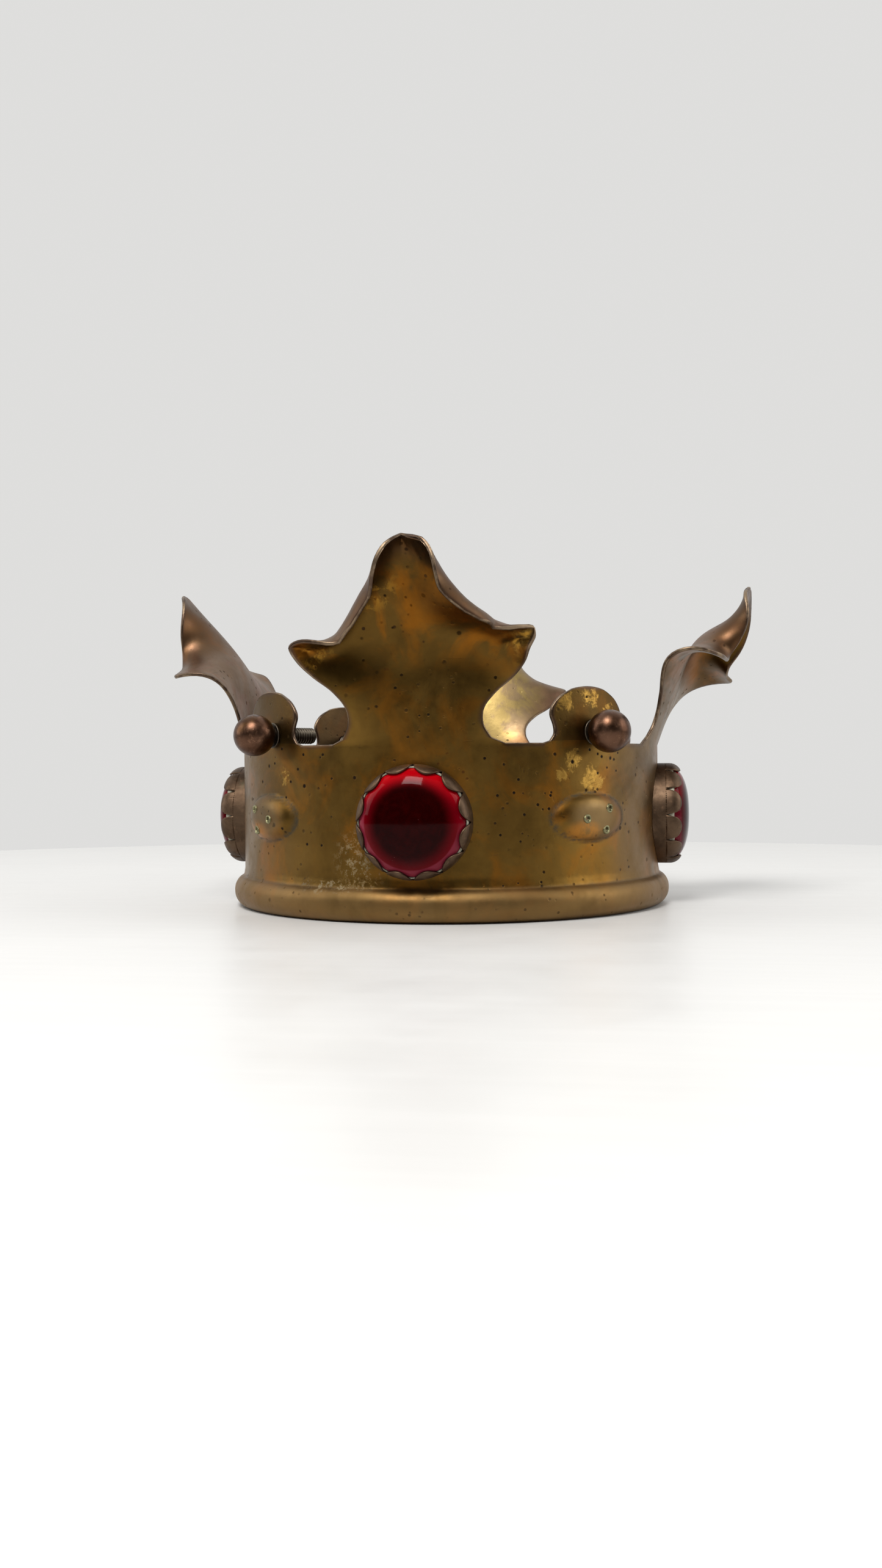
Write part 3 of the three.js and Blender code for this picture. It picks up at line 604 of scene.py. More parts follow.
def brass_outer():
    n = Nodes("shell_outer")
    gold = [
        (polar(36.5, 55, 50.5), 5.5, (1, 1, 1)), (polar(45, 55, 51.5), 5.0, (1, 1, 1)),
        (polar(51.5, 55, 48.5), 4.2, (1, 1, 1)), (polar(40, 55, 37), 4.5, (1, 1, 0.8)),
        (polar(45.5, 55, 32.8), 6.5, (1, 1, 1)), (polar(36, 55, 33), 3.0, (1, 1, 1)),
        # the patch at 23.5 degrees, 65 mm out, is a painted highlight on the front leaf's right arm tip; the other
        # patches are rubbed gold
        (polar(-38, 55, 34), 4.2, (1, 1, 1)), (polar(23.5, 65, 62.5), 8.0, (1, 1, 1)),
        (polar(150, 55, 30), 7.0, (1, 1, 1)), (polar(-110, 55, 16), 6.0, (1, 1, 0.7)),
        (polar(120, 55, 50), 5.0, (1, 1, 1)),
    ]
    col, rough, h, big, rub = surface(
        n, ((0.125, 0.068, 0.0150), (0.175, 0.098, 0.0215), (0.250, 0.098, 0.0120)), gold, (0.05, 0.03, 0.015), 0.92)
    hgt, rim, zone = n.attr("hgt"), n.attr("rim"), n.attr("zone")
    fine_ = n.noise(130, 6, 0.68, distort=0.8, seed=43)
    # lobes: darker between the worn places
    lobe = n.math("MULTIPLY", n.ramp(zone, 1.4, 1.6), n.math("SUBTRACT", 1.0, rub))
    col = n.mix(n.math("MULTIPLY", lobe, 0.62), col, (0.062, 0.036, 0.012))
    # leaves: darker, with orange-amber higher up
    up = n.ramp(hgt, 44.0, 66.0)
    amber = n.math("MULTIPLY", n.ramp(n.noise(48, 5, 0.6, distort=1.5, seed=31), 0.46, 0.58), n.ramp(hgt, 56.0, 64.0))
    col = n.mix(n.math("MULTIPLY", up, 0.62), col, (0.060, 0.031, 0.0070))
    col = n.mix(n.math("MULTIPLY", amber, 0.70), col, (0.24, 0.082, 0.0065))
    tip = n.ramp(hgt, 82.0, 88.0)
    col = n.mix(n.math("MULTIPLY", tip, 0.7), col, (0.055, 0.027, 0.016))
    # bright golden strokes on the front leaf; the one at its right arm tip is a painted highlight
    for p_, r_ in ((polar(-9, 62, 78), 10.0), (polar(24.5, 64, 62.5), 7.5), (polar(-22, 62, 60.5), 7.0)):
        gold_stroke_and_painted_highlight = n.math("MULTIPLY", n.near(p_, r_, 0.3), n.ramp(n.noise(260, 7, 0.75, distort=1.0, seed=44), 0.50, 0.60))
        col = n.mix(n.math("MULTIPLY", gold_stroke_and_painted_highlight, 0.75), col, (0.36, 0.185, 0.026))
    dots = n.math("MULTIPLY", n.ramp(n.voronoi(300), 0.16, 0.09), n.ramp(n.noise(70, 3, 0.6, seed=45), 0.50, 0.58))
    col = n.mix(n.math("MULTIPLY", n.math("MULTIPLY", dots, up), 0.85), col, (0.020, 0.010, 0.006))
    # dark edge
    lip = n.math("MULTIPLY", n.ramp(n.math("ADD", rim, n.math("MULTIPLY", n.noise(200, 3, 0.6, seed=32), 1.6)), 2.3, 0.9),
                 n.ramp(hgt, 8.0, 12.0))
    col = n.mix(n.math("MULTIPLY", lip, 0.75), col, (0.075, 0.045, 0.034))
    # foot bead: browner and smoother, with painted shade in the crease between band and bead
    foot = n.ramp(hgt, 8.6, 6.8)
    col = n.mix(n.math("MULTIPLY", foot, 0.7), col, (0.210, 0.128, 0.052))
    crease_painted_shade = n.math("MULTIPLY", n.ramp(n.math("ABSOLUTE", n.math("SUBTRACT", hgt, 7.7)), 0.75, 0.1), n.ramp(big, 0.38, 0.5))
    col = n.mix(n.math("MULTIPLY", crease_painted_shade, 0.45), col, (0.06, 0.04, 0.022))
    rough = n.math("ADD", rough, n.math("MULTIPLY", foot, 0.10))
    # the band is painted paler and pinker at its sides, a painted reflection of the bright wall, and amber below the
    # front right boss
    for az_ in (72, -74, 108, -106):
        side = n.math("MULTIPLY", n.near(polar(az_, 55, 25), 26.0, 0.35, (1, 1, 0.8)), n.ramp(fine_, 0.30, 0.60, 0.35, 0.85))
        col = n.mix(n.math("MULTIPLY", side, 0.62), col, (0.245, 0.165, 0.098))
    low = n.math("MULTIPLY", n.near(polar(43, 56, 13), 15.0, 0.3, (1, 1, 1.4)), n.ramp(fine_, 0.36, 0.60))
    col = n.mix(n.math("MULTIPLY", low, 0.40), col, (0.240, 0.115, 0.018))
    for az_ in (45, 135, -45, -135):
        # painted highlight: the middle of each boss dome is painted paler
        boss_dome_painted_highlight = n.near(polar(az_, 57, BOSS["z"]), 9.5, 0.45, (1, 1, 1.7))
        col = n.mix(n.math("MULTIPLY", boss_dome_painted_highlight, 0.55), col, (0.200, 0.138, 0.070))
        rust = n.math("MULTIPLY", n.near(polar(az_ - 3.5, 57, BOSS["z"] - 3.2), 6.5, 0.3, (1, 1, 2.0)), n.ramp(fine_, 0.36, 0.52))
        col = n.mix(n.math("MULTIPLY", rust, 0.8), col, (0.400, 0.165, 0.030))
    # pale crust by the front stone and along the bead, dark crust round the bosses
    chalk = n.math("MULTIPLY", n.near(polar(-13.5, 55.5, 14.5), 9.0, 0.3), n.ramp(n.noise(620, 6, 0.8, seed=33), 0.50, 0.58))
    chalk2 = n.math("MULTIPLY", n.near(polar(-22, 56.5, 8.2), 14.0, 0.4, (1, 1, 6)), n.ramp(n.noise(420, 5, 0.75, seed=34), 0.53, 0.62))
    chalk = n.math("MAXIMUM", chalk, chalk2)
    col = n.mix(n.math("MULTIPLY", chalk, 0.60), col, (0.26, 0.21, 0.115))
    for az_ in (0, 90, 180, -90):
        halo = n.math("MULTIPLY", n.near(polar(az_, 55, GEM_Z), 21.0, 0.55), n.ramp(n.noise(110, 6, 0.7, distort=0.8, seed=36 + az_ / 90), 0.44, 0.60))
        col = n.mix(n.math("MULTIPLY", halo, 0.55), col, (0.30, 0.125, 0.018))
    smoke = n.ramp(n.noise(28, 4, 0.6, distort=1.0, seed=37), 0.50, 0.66)
    col = n.mix(n.math("MULTIPLY", smoke, 0.5), col, (0.050, 0.029, 0.0085))
    speck = n.math("MULTIPLY", n.near(polar(-2, 56, 52), 13.0, 0.2, (1.3, 1, 1)),
                   n.math("MULTIPLY", n.ramp(n.voronoi(620), 0.26, 0.14), n.ramp(n.noise(210, 3, 0.6, seed=38), 0.50, 0.58)))
    speck2 = n.math("MULTIPLY", n.near(polar(5, 56, 35), 14.0, 0.2),
                    n.math("MULTIPLY", n.ramp(n.voronoi(560), 0.26, 0.14), n.ramp(n.noise(230, 3, 0.6, seed=39), 0.52, 0.60)))
    speck = n.math("MAXIMUM", speck, speck2)
    col = n.mix(n.math("MULTIPLY", speck, 0.8), col, (0.075, 0.022, 0.010))
    streaky = n.ramp(n.noise(1.0, 4, 0.6, vec=n.mapped((95, 95, 9)), seed=40), 0.52, 0.68)
    col = n.mix(n.math("MULTIPLY", streaky, 0.30), col, (0.080, 0.046, 0.012))
    ring = n.attr("ring")
    grey = n.math("MULTIPLY", ring, n.ramp(n.noise(560, 6, 0.75, seed=35), 0.38, 0.54))
    col = n.mix(n.math("MULTIPLY", grey, 0.92), col, (0.034, 0.031, 0.019))
    crust = n.math("MAXIMUM", n.math("MULTIPLY", chalk, 0.8), n.math("MULTIPLY", grey, 0.6))
    rough = n.math("ADD", rough, n.math("MULTIPLY", crust, 0.35), clamp=True)
    metal = n.math("SUBTRACT", 1.0, n.math("MULTIPLY", crust, 0.8))
    h = n.math("ADD", h, n.math("MULTIPLY", crust, 0.5))
    return n.done(col, rough, metal, n.bump(h, 0.22, 0.0005))


def brass_inner():
    n = Nodes("shell_inner")
    gold = [(polar(-141, 54, 46), 6.0, (1, 1, 1)), (polar(10, 54, 20), 9.0, (1, 1, 1))]
    col, rough, h, big, rub = surface(
        n, ((0.130, 0.080, 0.046), (0.190, 0.122, 0.074), (0.200, 0.092, 0.038)), gold, (0.055, 0.028, 0.018), 0.8, 0.6)
    pink = n.ramp(n.noise(75, 5, 0.65, distort=1.0, seed=41), 0.50, 0.62)
    col = n.mix(n.math("MULTIPLY", pink, 0.4), col, (0.185, 0.088, 0.060))
    hgt, zone = n.attr("hgt"), n.attr("zone")
    high = n.ramp(hgt, 62.0, 80.0)
    col = n.mix(n.math("MULTIPLY", high, 0.62), col, (0.070, 0.036, 0.016))
    lobe = n.ramp(zone, 1.4, 1.6)
    col = n.mix(n.math("MULTIPLY", lobe, 0.75), col, (0.075, 0.046, 0.018))
    # the back leaf's inner face is painted pale where it faces the light: painted light
    back_leaf_painted_light = n.near(polar(180, 60, 58), 24.0, 0.55)
    violet = n.ramp(n.noise(85, 5, 0.65, distort=1.2, seed=42), 0.46, 0.62)
    pale = n.mix(n.math("MULTIPLY", violet, 0.7), (0.31, 0.225, 0.080), (0.185, 0.128, 0.085))
    col = n.mix(n.math("MULTIPLY", back_leaf_painted_light, 0.88), col, pale)
    lip = n.ramp(n.attr("rim"), 1.4, 0.3)
    col = n.mix(n.math("MULTIPLY", lip, 0.5), col, (0.060, 0.034, 0.024))
    rough = n.math("ADD", rough, 0.04)
    return n.done(col, rough, 1.0, n.bump(h, 0.25, 0.0005))


def brass_rim():
    n = Nodes("shell_rim")
    f = n.noise(210, 5, 0.65, seed=51)
    col = n.mix(n.ramp(f, 0.4, 0.62), (0.085, 0.055, 0.038), (0.235, 0.170, 0.110))
    return n.done(col, n.ramp(f, 0.3, 0.7, 0.34, 0.5), 1.0, n.bump(f, 0.2, 0.0003))


def dark_metal(name, a, b, c, edge, rough=(0.34, 0.52), bump=0.25):
    n = Nodes(name)
    f, g = n.noise(160, 5, 0.62, distort=0.5, seed=61), n.noise(620, 5, 0.65, seed=62)
    col = n.mix(n.ramp(f, 0.38, 0.62), a, b)
    col = n.mix(n.math("MULTIPLY", n.ramp(g, 0.55, 0.68), 0.55), col, c)
    green = n.math("MULTIPLY", n.ramp(n.noise(120, 4, 0.6, seed=63), 0.60, 0.70), 0.4)
    col = n.mix(green, col, edge)
    line = n.ramp(n.noise(1.0, 2, 0.5, vec=n.mapped((60, 1800, 900), (0.4, 0.9, 0.3)), seed=64), 0.66, 0.71)
    col = n.mix(n.math("MULTIPLY", line, 0.35), col, c)
    r = n.ramp(g, 0.3, 0.7, *rough)
    h = n.math("ADD", n.math("MULTIPLY", g, 0.5), n.math("MULTIPLY", line, -0.3))
    return n.done(col, r, 1.0, n.bump(h, bump, 0.0003))


def glass_red(name, az):
    n = Nodes(name)
    c = Vector(polar(az, 58.0, GEM_Z))
    m = n.t.nodes.new("ShaderNodeMapping")
    m.vector_type = "POINT"
    n.put(m.inputs["Vector"], n.co)
    m.inputs["Location"].default_value = tuple(-v * MM for v in c)
    sep = n.t.nodes.new("ShaderNodeSeparateXYZ")
    n.t.links.new(m.outputs[0], sep.inputs[0])
    a = math.radians(az)
    x = n.math("ADD", n.math("MULTIPLY", sep.outputs[0], math.cos(a) * 1000 / STONE_R),
               n.math("MULTIPLY", sep.outputs[1], math.sin(a) * 1000 / STONE_R))
    z = n.math("MULTIPLY", sep.outputs[2], 1000 / STONE_R)
    r = n.math("SQRT", n.math("ADD", n.math("MULTIPLY", x, x), n.math("MULTIPLY", z, z)))
    deep = n.ramp(r, 0.60, 1.0)
    swirl = n.noise(260, 3, 0.6, distort=2.0, seed=71)
    # painted light: the stone's upper rim is painted bright red, as if lit from above
    high = n.ramp(n.math("ADD", n.math("MULTIPLY", z, 0.9), n.math("MULTIPLY", r, 0.55)), 0.62, 1.35)
    painted_top_rim_light = n.math("MULTIPLY", high, n.ramp(r, 0.64, 0.92))
    col = n.mix(n.ramp(swirl, 0.35, 0.7), (0.0105, 0.0001, 0.0001), (0.0180, 0.0002, 0.0002))
    col = n.mix(n.math("MULTIPLY", deep, 0.9 if az == 0 else 0.45), col, (0.165, 0.0006, 0.0055))
    col = n.mix(n.math("MULTIPLY", painted_top_rim_light, 0.92 if az == 0 else 0.35), col, (0.40, 0.0009, 0.0040))
    # painted reflection: a pale crescent low on the rim stands for the floor's reflection
    low = n.ramp(n.math("ADD", z, n.math("MULTIPLY", x, 0.25)), 0.30, -0.30)
    painted_floor_reflection = n.math("MULTIPLY", n.math("MULTIPLY", n.ramp(r, 0.850, 0.880), low), 1.0 if az == 0 else 0.35)
    col = n.mix(n.math("MULTIPLY", painted_floor_reflection, 0.75), col, (0.22, 0.026, 0.046))
    dust = n.math("MULTIPLY", n.ramp(n.voronoi(900), 0.10, 0.05), n.ramp(n.noise(140, 2, 0.5, seed=73), 0.60, 0.68))
    col = n.mix(n.math("MULTIPLY", dust, 0.7), col, (0.55, 0.25, 0.25))
    return n.done(col, 0.075, 0.0, n.bump(n.noise(900, 3, 0.6, seed=72), 0.03, 0.0001), IOR=1.155)


def cement():
    n = Nodes("setting_cement_crust")
    f = n.noise(700, 6, 0.7, seed=81)
    col = n.mix(n.ramp(f, 0.35, 0.65), (0.16, 0.15, 0.11), (0.46, 0.44, 0.34))
    return n.done(col, 0.92, 0.0, n.bump(f, 0.7, 0.0004))


MATS = dict(outer=brass_outer(), inner=brass_inner(), rim=brass_rim(),
            bezel=dark_metal("bezel_metal", (0.072, 0.045, 0.028), (0.125, 0.080, 0.050), (0.19, 0.115, 0.070), (0.10, 0.100, 0.062), (0.42, 0.56)),
            ball=dark_metal("ball_bronze", (0.058, 0.027, 0.015), (0.118, 0.061, 0.038), (0.26, 0.138, 0.083), (0.105, 0.050, 0.012), (0.27, 0.42), 0.18),
            stud=dark_metal("stud_metal", (0.055, 0.046, 0.036), (0.11, 0.092, 0.070), (0.17, 0.145, 0.11), (0.10, 0.115, 0.09)),
            cement=cement())

# ---- shell piece ----------------------------------------------------------------------------
V, F, M, attrs = build_shell()
V = np.array(V, dtype=float)
for k in (0, 1):
    V[:, k] = np.clip(V[:, k], cad_lo[k] / MM + 0.03, cad_hi[k] / MM - 0.03)
d = (attrs["arc"] - QUARTER / 2 + 2 * QUARTER) % QUARTER
d = np.minimum(d, QUARTER - d)
e = np.sqrt((d / BOSS["half_wide"]) ** 2 + ((attrs["hgt"] - BOSS["z"]) / BOSS["half_high"]) ** 2)
attrs["ring"] = np.clip(1 - np.abs(e - 1.0) / 0.10, 0, 1) * (attrs["zone"] == 0)
shell = make("shell_sheet", V, F, "shell", [MATS["outer"], MATS["inner"], MATS["rim"]], attrs=attrs, mat_index=M)
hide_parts("crown_shell")

# stud holes and the pierced holes of the bosses
cutV, cutF = [], []
BURRS = []


def cutter(az, z, r, n):
    base = len(cutV)
    P = [(r * math.cos(2 * math.pi * i / n), r * math.sin(2 * math.pi * i / n), h) for h in (50, 62) for i in range(n)]
    cutV.extend(place(P, az, z))
    cutF.append(tuple(base + i for i in range(n))[::-1])
    cutF.append(tuple(base + n + i for i in range(n)))
    for i in range(n):
        cutF.append((base + i, base + (i + 1) % n, base + n + (i + 1) % n, base + n + i))


for az in SCREW_AZ.values():
    cutter(az, SCREW_Z, 2.12, 24)
for az, mirror in ((45, 1), (-45, -1), (135, 1), (-135, -1)):
    for dx, dz in ((-2.6, -0.3), (4.4, 2.0), (3.4, -3.0)):
        a = az + math.degrees(mirror * dx / BAND_R)
        cutter(a, BOSS["z"] + dz, 0.62, 12)
        arc = math.radians(a) * MID_R
        BURRS.append((a, BOSS["z"] + dz, BAND_R + float(boss_rise(np.array([arc % QUARTER + 0.0]), np.array([BOSS["z"] + dz]))[0])))
cm = bpy.data.meshes.new("cutters")
cm.from_pydata([tuple(v * MM) for v in np.array(cutV)], [], cutF)
cut = bpy.data.objects.new("cutters", cm)
bpy.context.scene.collection.objects.link(cut)
mod = shell.modifiers.new("holes", "BOOLEAN")
mod.operation, mod.object, mod.solver = "DIFFERENCE", cut, "EXACT"
bpy.context.view_layer.update()
dg = bpy.context.evaluated_depsgraph_get()
holed = bpy.data.meshes.new_from_object(shell.evaluated_get(dg), depsgraph=dg)
shell.modifiers.clear()
if len(holed.polygons) > 0.9 * len(shell.data.polygons):
    shell.data = holed
bpy.data.objects.remove(cut)

# raised burrs round the pierced holes
bv, bf = [], []
for a, z, r in BURRS:
    prof = [(1.12, r - 0.25), (1.05, r + 0.10), (0.86, r + 0.30), (0.66, r + 0.26), (0.58, r - 0.15), (0.58, r - 0.7)]
    P, Q = lathe(prof, 20)
    P = np.array(P)
    P[:, 2] += 0.07 * np.sin(3 * np.arctan2(P[:, 1], P[:, 0]) + a) * (P[:, 2] > r)
    base = len(bv)
    bv.extend(place(P, a, z))
    bf.extend([tuple(base + i for i in q) for q in Q])
burr_mat = dark_metal("burr_metal", (0.16, 0.14, 0.07), (0.28, 0.27, 0.15), (0.42, 0.42, 0.26), (0.25, 0.33, 0.20), (0.4, 0.6))
make("boss_burrs", bv, bf, "shell", [burr_mat])

# ---- stones, claws and crust ----------------------------------------------------------------
for where, az in GEM_AZ.items():
    prof = [(STONE_R - 0.15, STONE_BASE), (STONE_R, STONE_BASE + 0.2)]
    for k in np.linspace(0, math.pi / 2, 26):
        prof.append((STONE_R * math.cos(k) ** 0.8 if k < 1.57 else 0.0, GIRDLE + (STONE_TOP - GIRDLE) * math.sin(k)))
    P, Q = lathe(prof, 72)
    stone = make("stone_" + where, place(P, az, GEM_Z), Q, "shell", [glass_red("red_glass_" + where, az)])
    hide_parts("cabochon_" + where)

    rng = np.random.default_rng(7 + int(az) % 11)
    bv, bf = [], []
    NA, T = 12, 0.42
    # wall of the cup
    ring_n = CLAWS * NA
    for r, h in ((BEZEL_R - T, 0), (BEZEL_R, 0), (BEZEL_R, 57.05), (BEZEL_R - T, 57.05)):
        for i in range(ring_n):
            a = 2 * math.pi * i / ring_n
            x, y = r * math.cos(a), r * math.sin(a)
            hh = math.sqrt((BAND_R + 0.05) ** 2 - x * x) if h == 0 else h
            bv.append((x, y, hh))
    for j, k in ((1, 2), (3, 0)):
        for i in range(ring_n):
            b = (i + 1) % ring_n
            bf.append((j * ring_n + i, j * ring_n + b, k * ring_n + b, k * ring_n + i))
    # claws: half discs folded over the stone
    for c in range(CLAWS):
        mid = 2 * math.pi * (c + 0.5) / CLAWS
        wide = math.radians(15.0) * (0.965 + 0.03 * rng.random())
        reach = 4.35 + 0.22 * (rng.random() - 0.5)
        tilt = 0.96 + 0.05 * rng.random()
        base = len(bv)
        NR = 10
        for side in (0, 1):
            for j in range(NR + 1):
                for i in range(NA + 1):
                    s = 2 * i / NA - 1
                    a = mid + s * wide
                    full = math.sqrt(max(0.0, 1 - s * s))
                    path = j / NR * (0.35 + reach * full)
                    # up the wall, then curving in over the stone
                    g = max(0.0, path - 1.15) / 3.4 * tilt
                    rr = BEZEL_R - 3.4 * (1 - math.cos(g))
                    hh = 56.85 + min(path, 1.15) + 3.4 * math.sin(g)
                    nx, nh = math.cos(g), math.sin(g)
                    o = -side * T
                    bv.append(((rr + o * nx) * math.cos(a), (rr + o * nx) * math.sin(a), hh + o * nh))
        W = NA + 1
        S = (NR + 1) * W
        g = lambda sd, j, i: base + sd * S + j * W + i
        for j in range(NR):
            for i in range(NA):
                bf.append((g(0, j, i), g(0, j, i + 1), g(0, j + 1, i + 1), g(0, j + 1, i)))
                bf.append((g(1, j, i), g(1, j + 1, i), g(1, j + 1, i + 1), g(1, j, i + 1)))
        for i in range(NA):
            bf.append((g(0, NR, i), g(0, NR, i + 1), g(1, NR, i + 1), g(1, NR, i)))
            bf.append((g(0, 0, i + 1), g(0, 0, i), g(1, 0, i), g(1, 0, i + 1)))
        for j in range(NR):
            bf.append((g(0, j, 0), g(0, j + 1, 0), g(1, j + 1, 0), g(1, j, 0)))
            bf.append((g(0, j + 1, NA), g(0, j, NA), g(1, j, NA), g(1, j + 1, NA)))
    cup = make("claw_cup_" + where, place(bv, az, GEM_Z), bf, "shell", [MATS["bezel"]])
    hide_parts("bezel_" + where)

    # pale crust between the glass and the claws, and the bed under the stone
    prof = [(12.36, 57.2), (12.62, 57.5), (12.62, 58.5), (12.5, 58.9), (12.3, 59.05), (12.2, 58.9), (12.34, 58.2)]
    P, Q = lathe(prof, 150, closed=True)
    P = np.array(P)
    a = np.arctan2(P[:, 1], P[:, 0])
    wob = 0.12 * np.sin(7 * a + az) + 0.09 * np.sin(23 * a + 1.3) + 0.06 * np.sin(61 * a + 0.4)
    P[:, 2] += 0.5 * wob * (P[:, 2] > 58.7)
    x = P[:, 0]
    bed, bq = lathe([(12.1, 0), (12.1, 56.9), (6.0, 56.9), (6.0, 0)], 72, closed=True)
    bed = np.array(bed)
    bed[:, 2] = np.where(bed[:, 2] == 0, np.sqrt((BAND_R + 0.1) ** 2 - bed[:, 0] ** 2), bed[:, 2])
    allv = np.vstack([P, bed])
    crust = make("cement_" + where, place(allv, az, GEM_Z), list(Q) + [tuple(len(P) + i for i in q) for q in bq],
                 "shell", [MATS["cement"]])
    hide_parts("bedding_" + where)

# ---- clamp screws ---------------------------------------------------------------------------
for where, az in SCREW_AZ.items():
    start = math.asin(2.3 / BALL_R)
    prof = [(0.0, BALL_AT - 0.6), (2.25, BALL_AT - 0.6)]
    for k in np.linspace(start, math.pi, 26):
        prof.append((max(BALL_R * math.sin(k), 0.0) if k < 3.1415 else 0.0, BALL_AT - BALL_R * math.cos(k)))
    P, Q = lathe(prof, 48)
    ball = make("ball_head_" + where, place(P, az, SCREW_Z), Q, "screw_" + where, [MATS["ball"]])
    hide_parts("ball_knob_" + where)

    # threaded stud: a helical ridge on the inner part, plain under the ball
    na, per = 28, 7
    length = BALL_AT - 0.8 - STUD_IN
    rows = int(length / PITCH * per)
    P = [(0, 0, STUD_IN)]
    for j in range(rows + 1):
        h = j / rows * length
        for i in range(na):
            a = 2 * math.pi * i / na
            ph = (h / PITCH - i / na) % 1.0
            ridge = 1 - abs(2 * ph - 1)
            depth = 0.40 * (1 - min(ridge * 1.35, 1.0))
            r = STUD_R - depth
            if h < 0.75:
                r = min(r, 1.15 + 0.85 * math.sqrt(max(0.0, 1 - (1 - h / 0.75) ** 2)))
            if h > length - 5:
                r = min(STUD_R, r + 0.4)
            P.append((r * math.cos(a), r * math.sin(a), STUD_IN + h))
    P.append((0, 0, STUD_IN + length))
    Q = [(0, 1 + (i + 1) % na, 1 + i) for i in range(na)]
    for j in range(rows):
        for i in range(na):
            k = (i + 1) % na
            Q.append((1 + j * na + i, 1 + j * na + k, 1 + (j + 1) * na + k, 1 + (j + 1) * na + i))
    Q += [(len(P) - 1, 1 + rows * na + i, 1 + rows * na + (i + 1) % na) for i in range(na)]
    stud = make("threaded_stud_" + where, place(P, az, SCREW_Z), Q, "screw_" + where, [MATS["stud"]])
    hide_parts("screw_stud_" + where)

    P, Q = lathe([(2.3, 55.36), (3.02, 55.36), (3.09, 55.44), (3.09, 55.62), (2.97, 55.74), (2.42, 55.74), (2.3, 55.66)], 48, closed=True)
    P = np.array(P)
    P[:, 2] -= 0.02 * (1 + np.sin(5 * np.arctan2(P[:, 1], P[:, 0]))) * (P[:, 2] > 55.7)
    washer = make("collar_" + where, place(P, az, SCREW_Z), Q, "washer_" + where, [MATS["stud"]])
    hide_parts("ball_washer_" + where)

# ---- floor, light and camera ----------------------------------------------------------------
me = bpy.data.meshes.new("floor")
n_ring = 96
fv = [(0, -0.12, -0.00002)]
ff = []
radii = [0.08, 0.16, 0.24, 0.32, 0.40]
for r in radii:
    fv += [(r * math.cos(2 * math.pi * i / n_ring), -0.12 + r * math.sin(2 * math.pi * i / n_ring), -0.00002) for i in range(n_ring)]
ff += [(0, 1 + i, 1 + (i + 1) % n_ring) for i in range(n_ring)]
for j in range(len(radii) - 1):
    for i in range(n_ring):
        k = (i + 1) % n_ring
        ff.append((1 + j * n_ring + i, 1 + (j + 1) * n_ring + i, 1 + (j + 1) * n_ring + k, 1 + j * n_ring + k))
me.from_pydata(fv, [], ff)
floor = bpy.data.objects.new("floor", me)
bpy.context.scene.collection.objects.link(floor)
n = Nodes("pale_floor")
g = n.noise(25, 4, 0.6, seed=91)
streak = n.noise(1.0, 4, 0.6, vec=n.mapped((12, 260, 1)), seed=92)
me.materials.append(n.done(n.mix(n.ramp(streak, 0.35, 0.7), (0.61, 0.61, 0.60), (0.625, 0.625, 0.615)),
                           n.ramp(g, 0.3, 0.7, 0.30, 0.42), 0.0, n.bump(streak, 0.015, 0.0003)))

world = bpy.data.worlds.new("studio")
bpy.context.scene.world = world
world.use_nodes = True
wt = world.node_tree
bg = wt.nodes["Background"]
co = wt.nodes.new("ShaderNodeTexCoord")
sp = wt.nodes.new("ShaderNodeSeparateXYZ")
wt.links.new(co.outputs["Generated"], sp.inputs[0])


def wr(value, lo, hi, a, b):
    m = wt.nodes.new("ShaderNodeMapRange")
    m.interpolation_type = "SMOOTHSTEP"
    wt.links.new(value, m.inputs["Value"])
    for k, v in (("From Min", lo), ("From Max", hi), ("To Min", a), ("To Max", b)):
        m.inputs[k].default_value = v
    return m.outputs["Result"]


def wm(op, a, b):
    m = wt.nodes.new("ShaderNodeMath")
    m.operation = op
    for s, v in zip(m.inputs, (a, b)):
        if isinstance(v, float):
            s.default_value = v
        else:
            wt.links.new(v, s)
    return m.outputs[0]


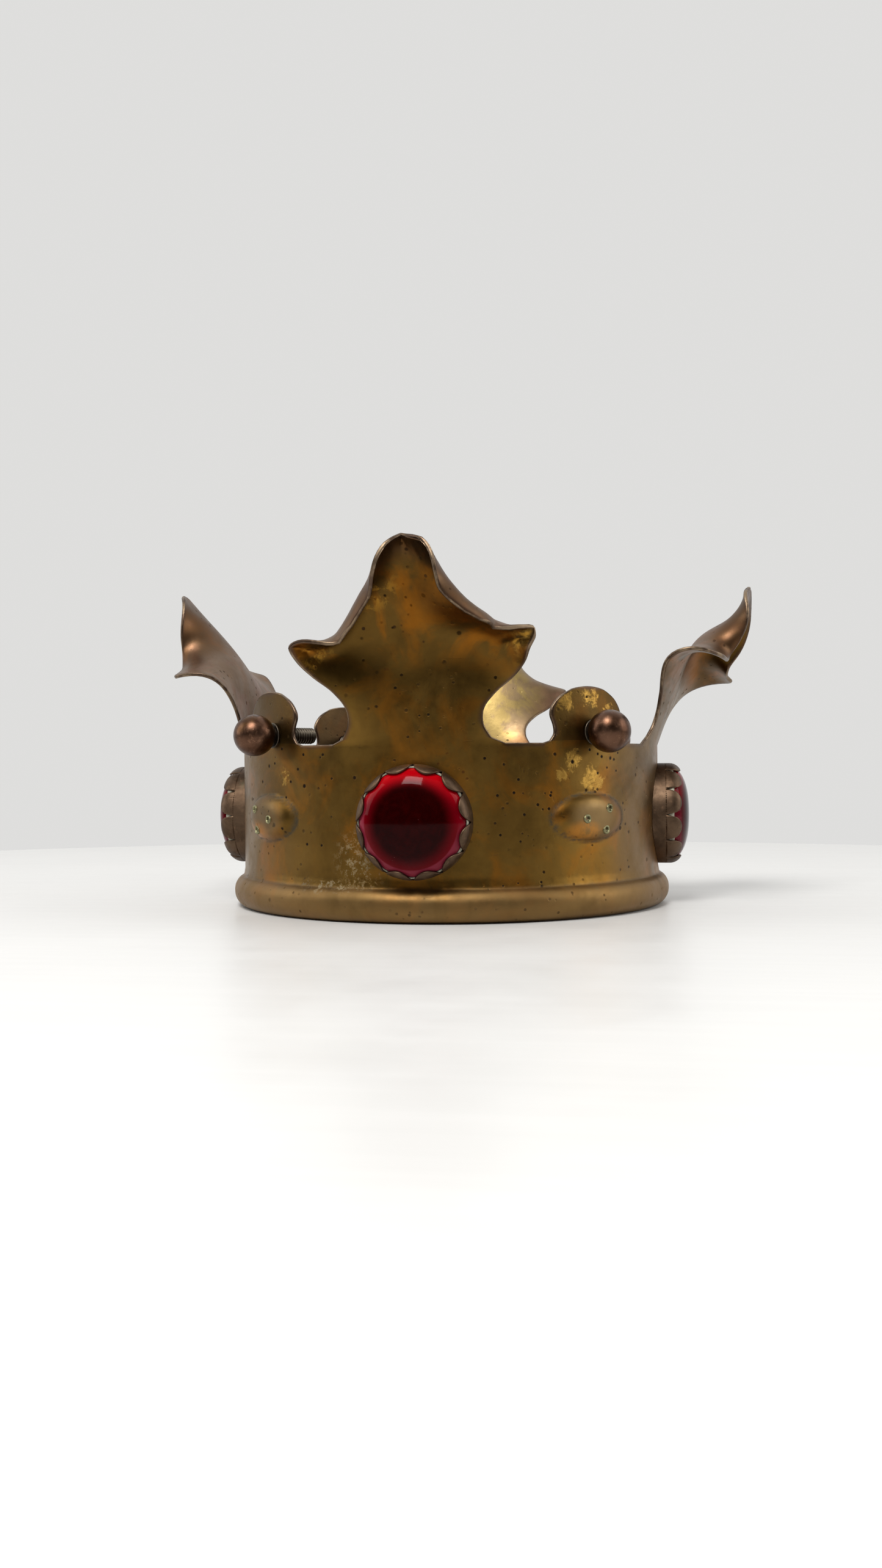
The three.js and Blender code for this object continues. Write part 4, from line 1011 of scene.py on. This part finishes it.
# bright wall behind the object, a dim room in front of it, a soft ceiling
wall = wr(sp.outputs[1], -0.25, 0.55, 0.055, 0.80)
ceiling = wr(sp.outputs[2], 0.35, 0.95, 0.0, 0.50)
level = wm("MAXIMUM", wm("ADD", wall, ceiling), 0.0)
lp = wt.nodes.new("ShaderNodeLightPath")
pick = wt.nodes.new("ShaderNodeMix")
pick.data_type = "FLOAT"
wt.links.new(lp.outputs["Is Camera Ray"], pick.inputs[0])
wt.links.new(level, pick.inputs[2])
pick.inputs[3].default_value = 0.735
bg.inputs["Color"].default_value = (1.0, 0.995, 0.98, 1)
wt.links.new(pick.outputs[0], bg.inputs["Strength"])


def area(name, loc, target, size, power, color=(1, 1, 1)):
    L = bpy.data.lights.new(name, "AREA")
    L.shape, L.size, L.size_y, L.energy, L.color = "RECTANGLE", size[0], size[1], power, color
    o = bpy.data.objects.new(name, L)
    o.location = loc
    o.rotation_mode = "QUATERNION"
    o.rotation_quaternion = (Vector(target) - Vector(loc)).to_track_quat("-Z", "Y")
    bpy.context.scene.collection.objects.link(o)


area("window", (-0.10, -0.55, 0.75), (0, 0, 0.04), (0.34, 0.36), 7.8, (1.0, 0.98, 0.96))
area("fill_left", (-0.9, -0.15, 0.45), (0, 0, 0.04), (0.5, 0.7), 3.2)
area("fill_right", (0.9, -0.05, 0.40), (0, 0, 0.04), (0.5, 0.7), 3.7)

cam = bpy.data.cameras.new("camera")
cam_o = bpy.data.objects.new("camera", cam)
bpy.context.scene.collection.objects.link(cam_o)
fwd = Vector((-0.1558, 0.9877, -0.0103)).normalized()
right0 = fwd.cross(Vector((0, 0, 1))).normalized()
up0 = right0.cross(fwd)
roll = -0.0082
right = math.cos(roll) * right0 + math.sin(roll) * up0
up = math.cos(roll) * up0 - math.sin(roll) * right0
cam_o.matrix_world = Matrix((
    (right.x, up.x, -fwd.x, 0.0502), (right.y, up.y, -fwd.y, -0.3353), (right.z, up.z, -fwd.z, 0.03467), (0, 0, 0, 1)))
cam.sensor_width, cam.sensor_fit, cam.lens = 36.0, "AUTO", 28.84
cam.clip_start, cam.clip_end = 0.01, 20
bpy.context.scene.camera = cam_o
bpy.context.scene.view_settings.view_transform = "Standard"
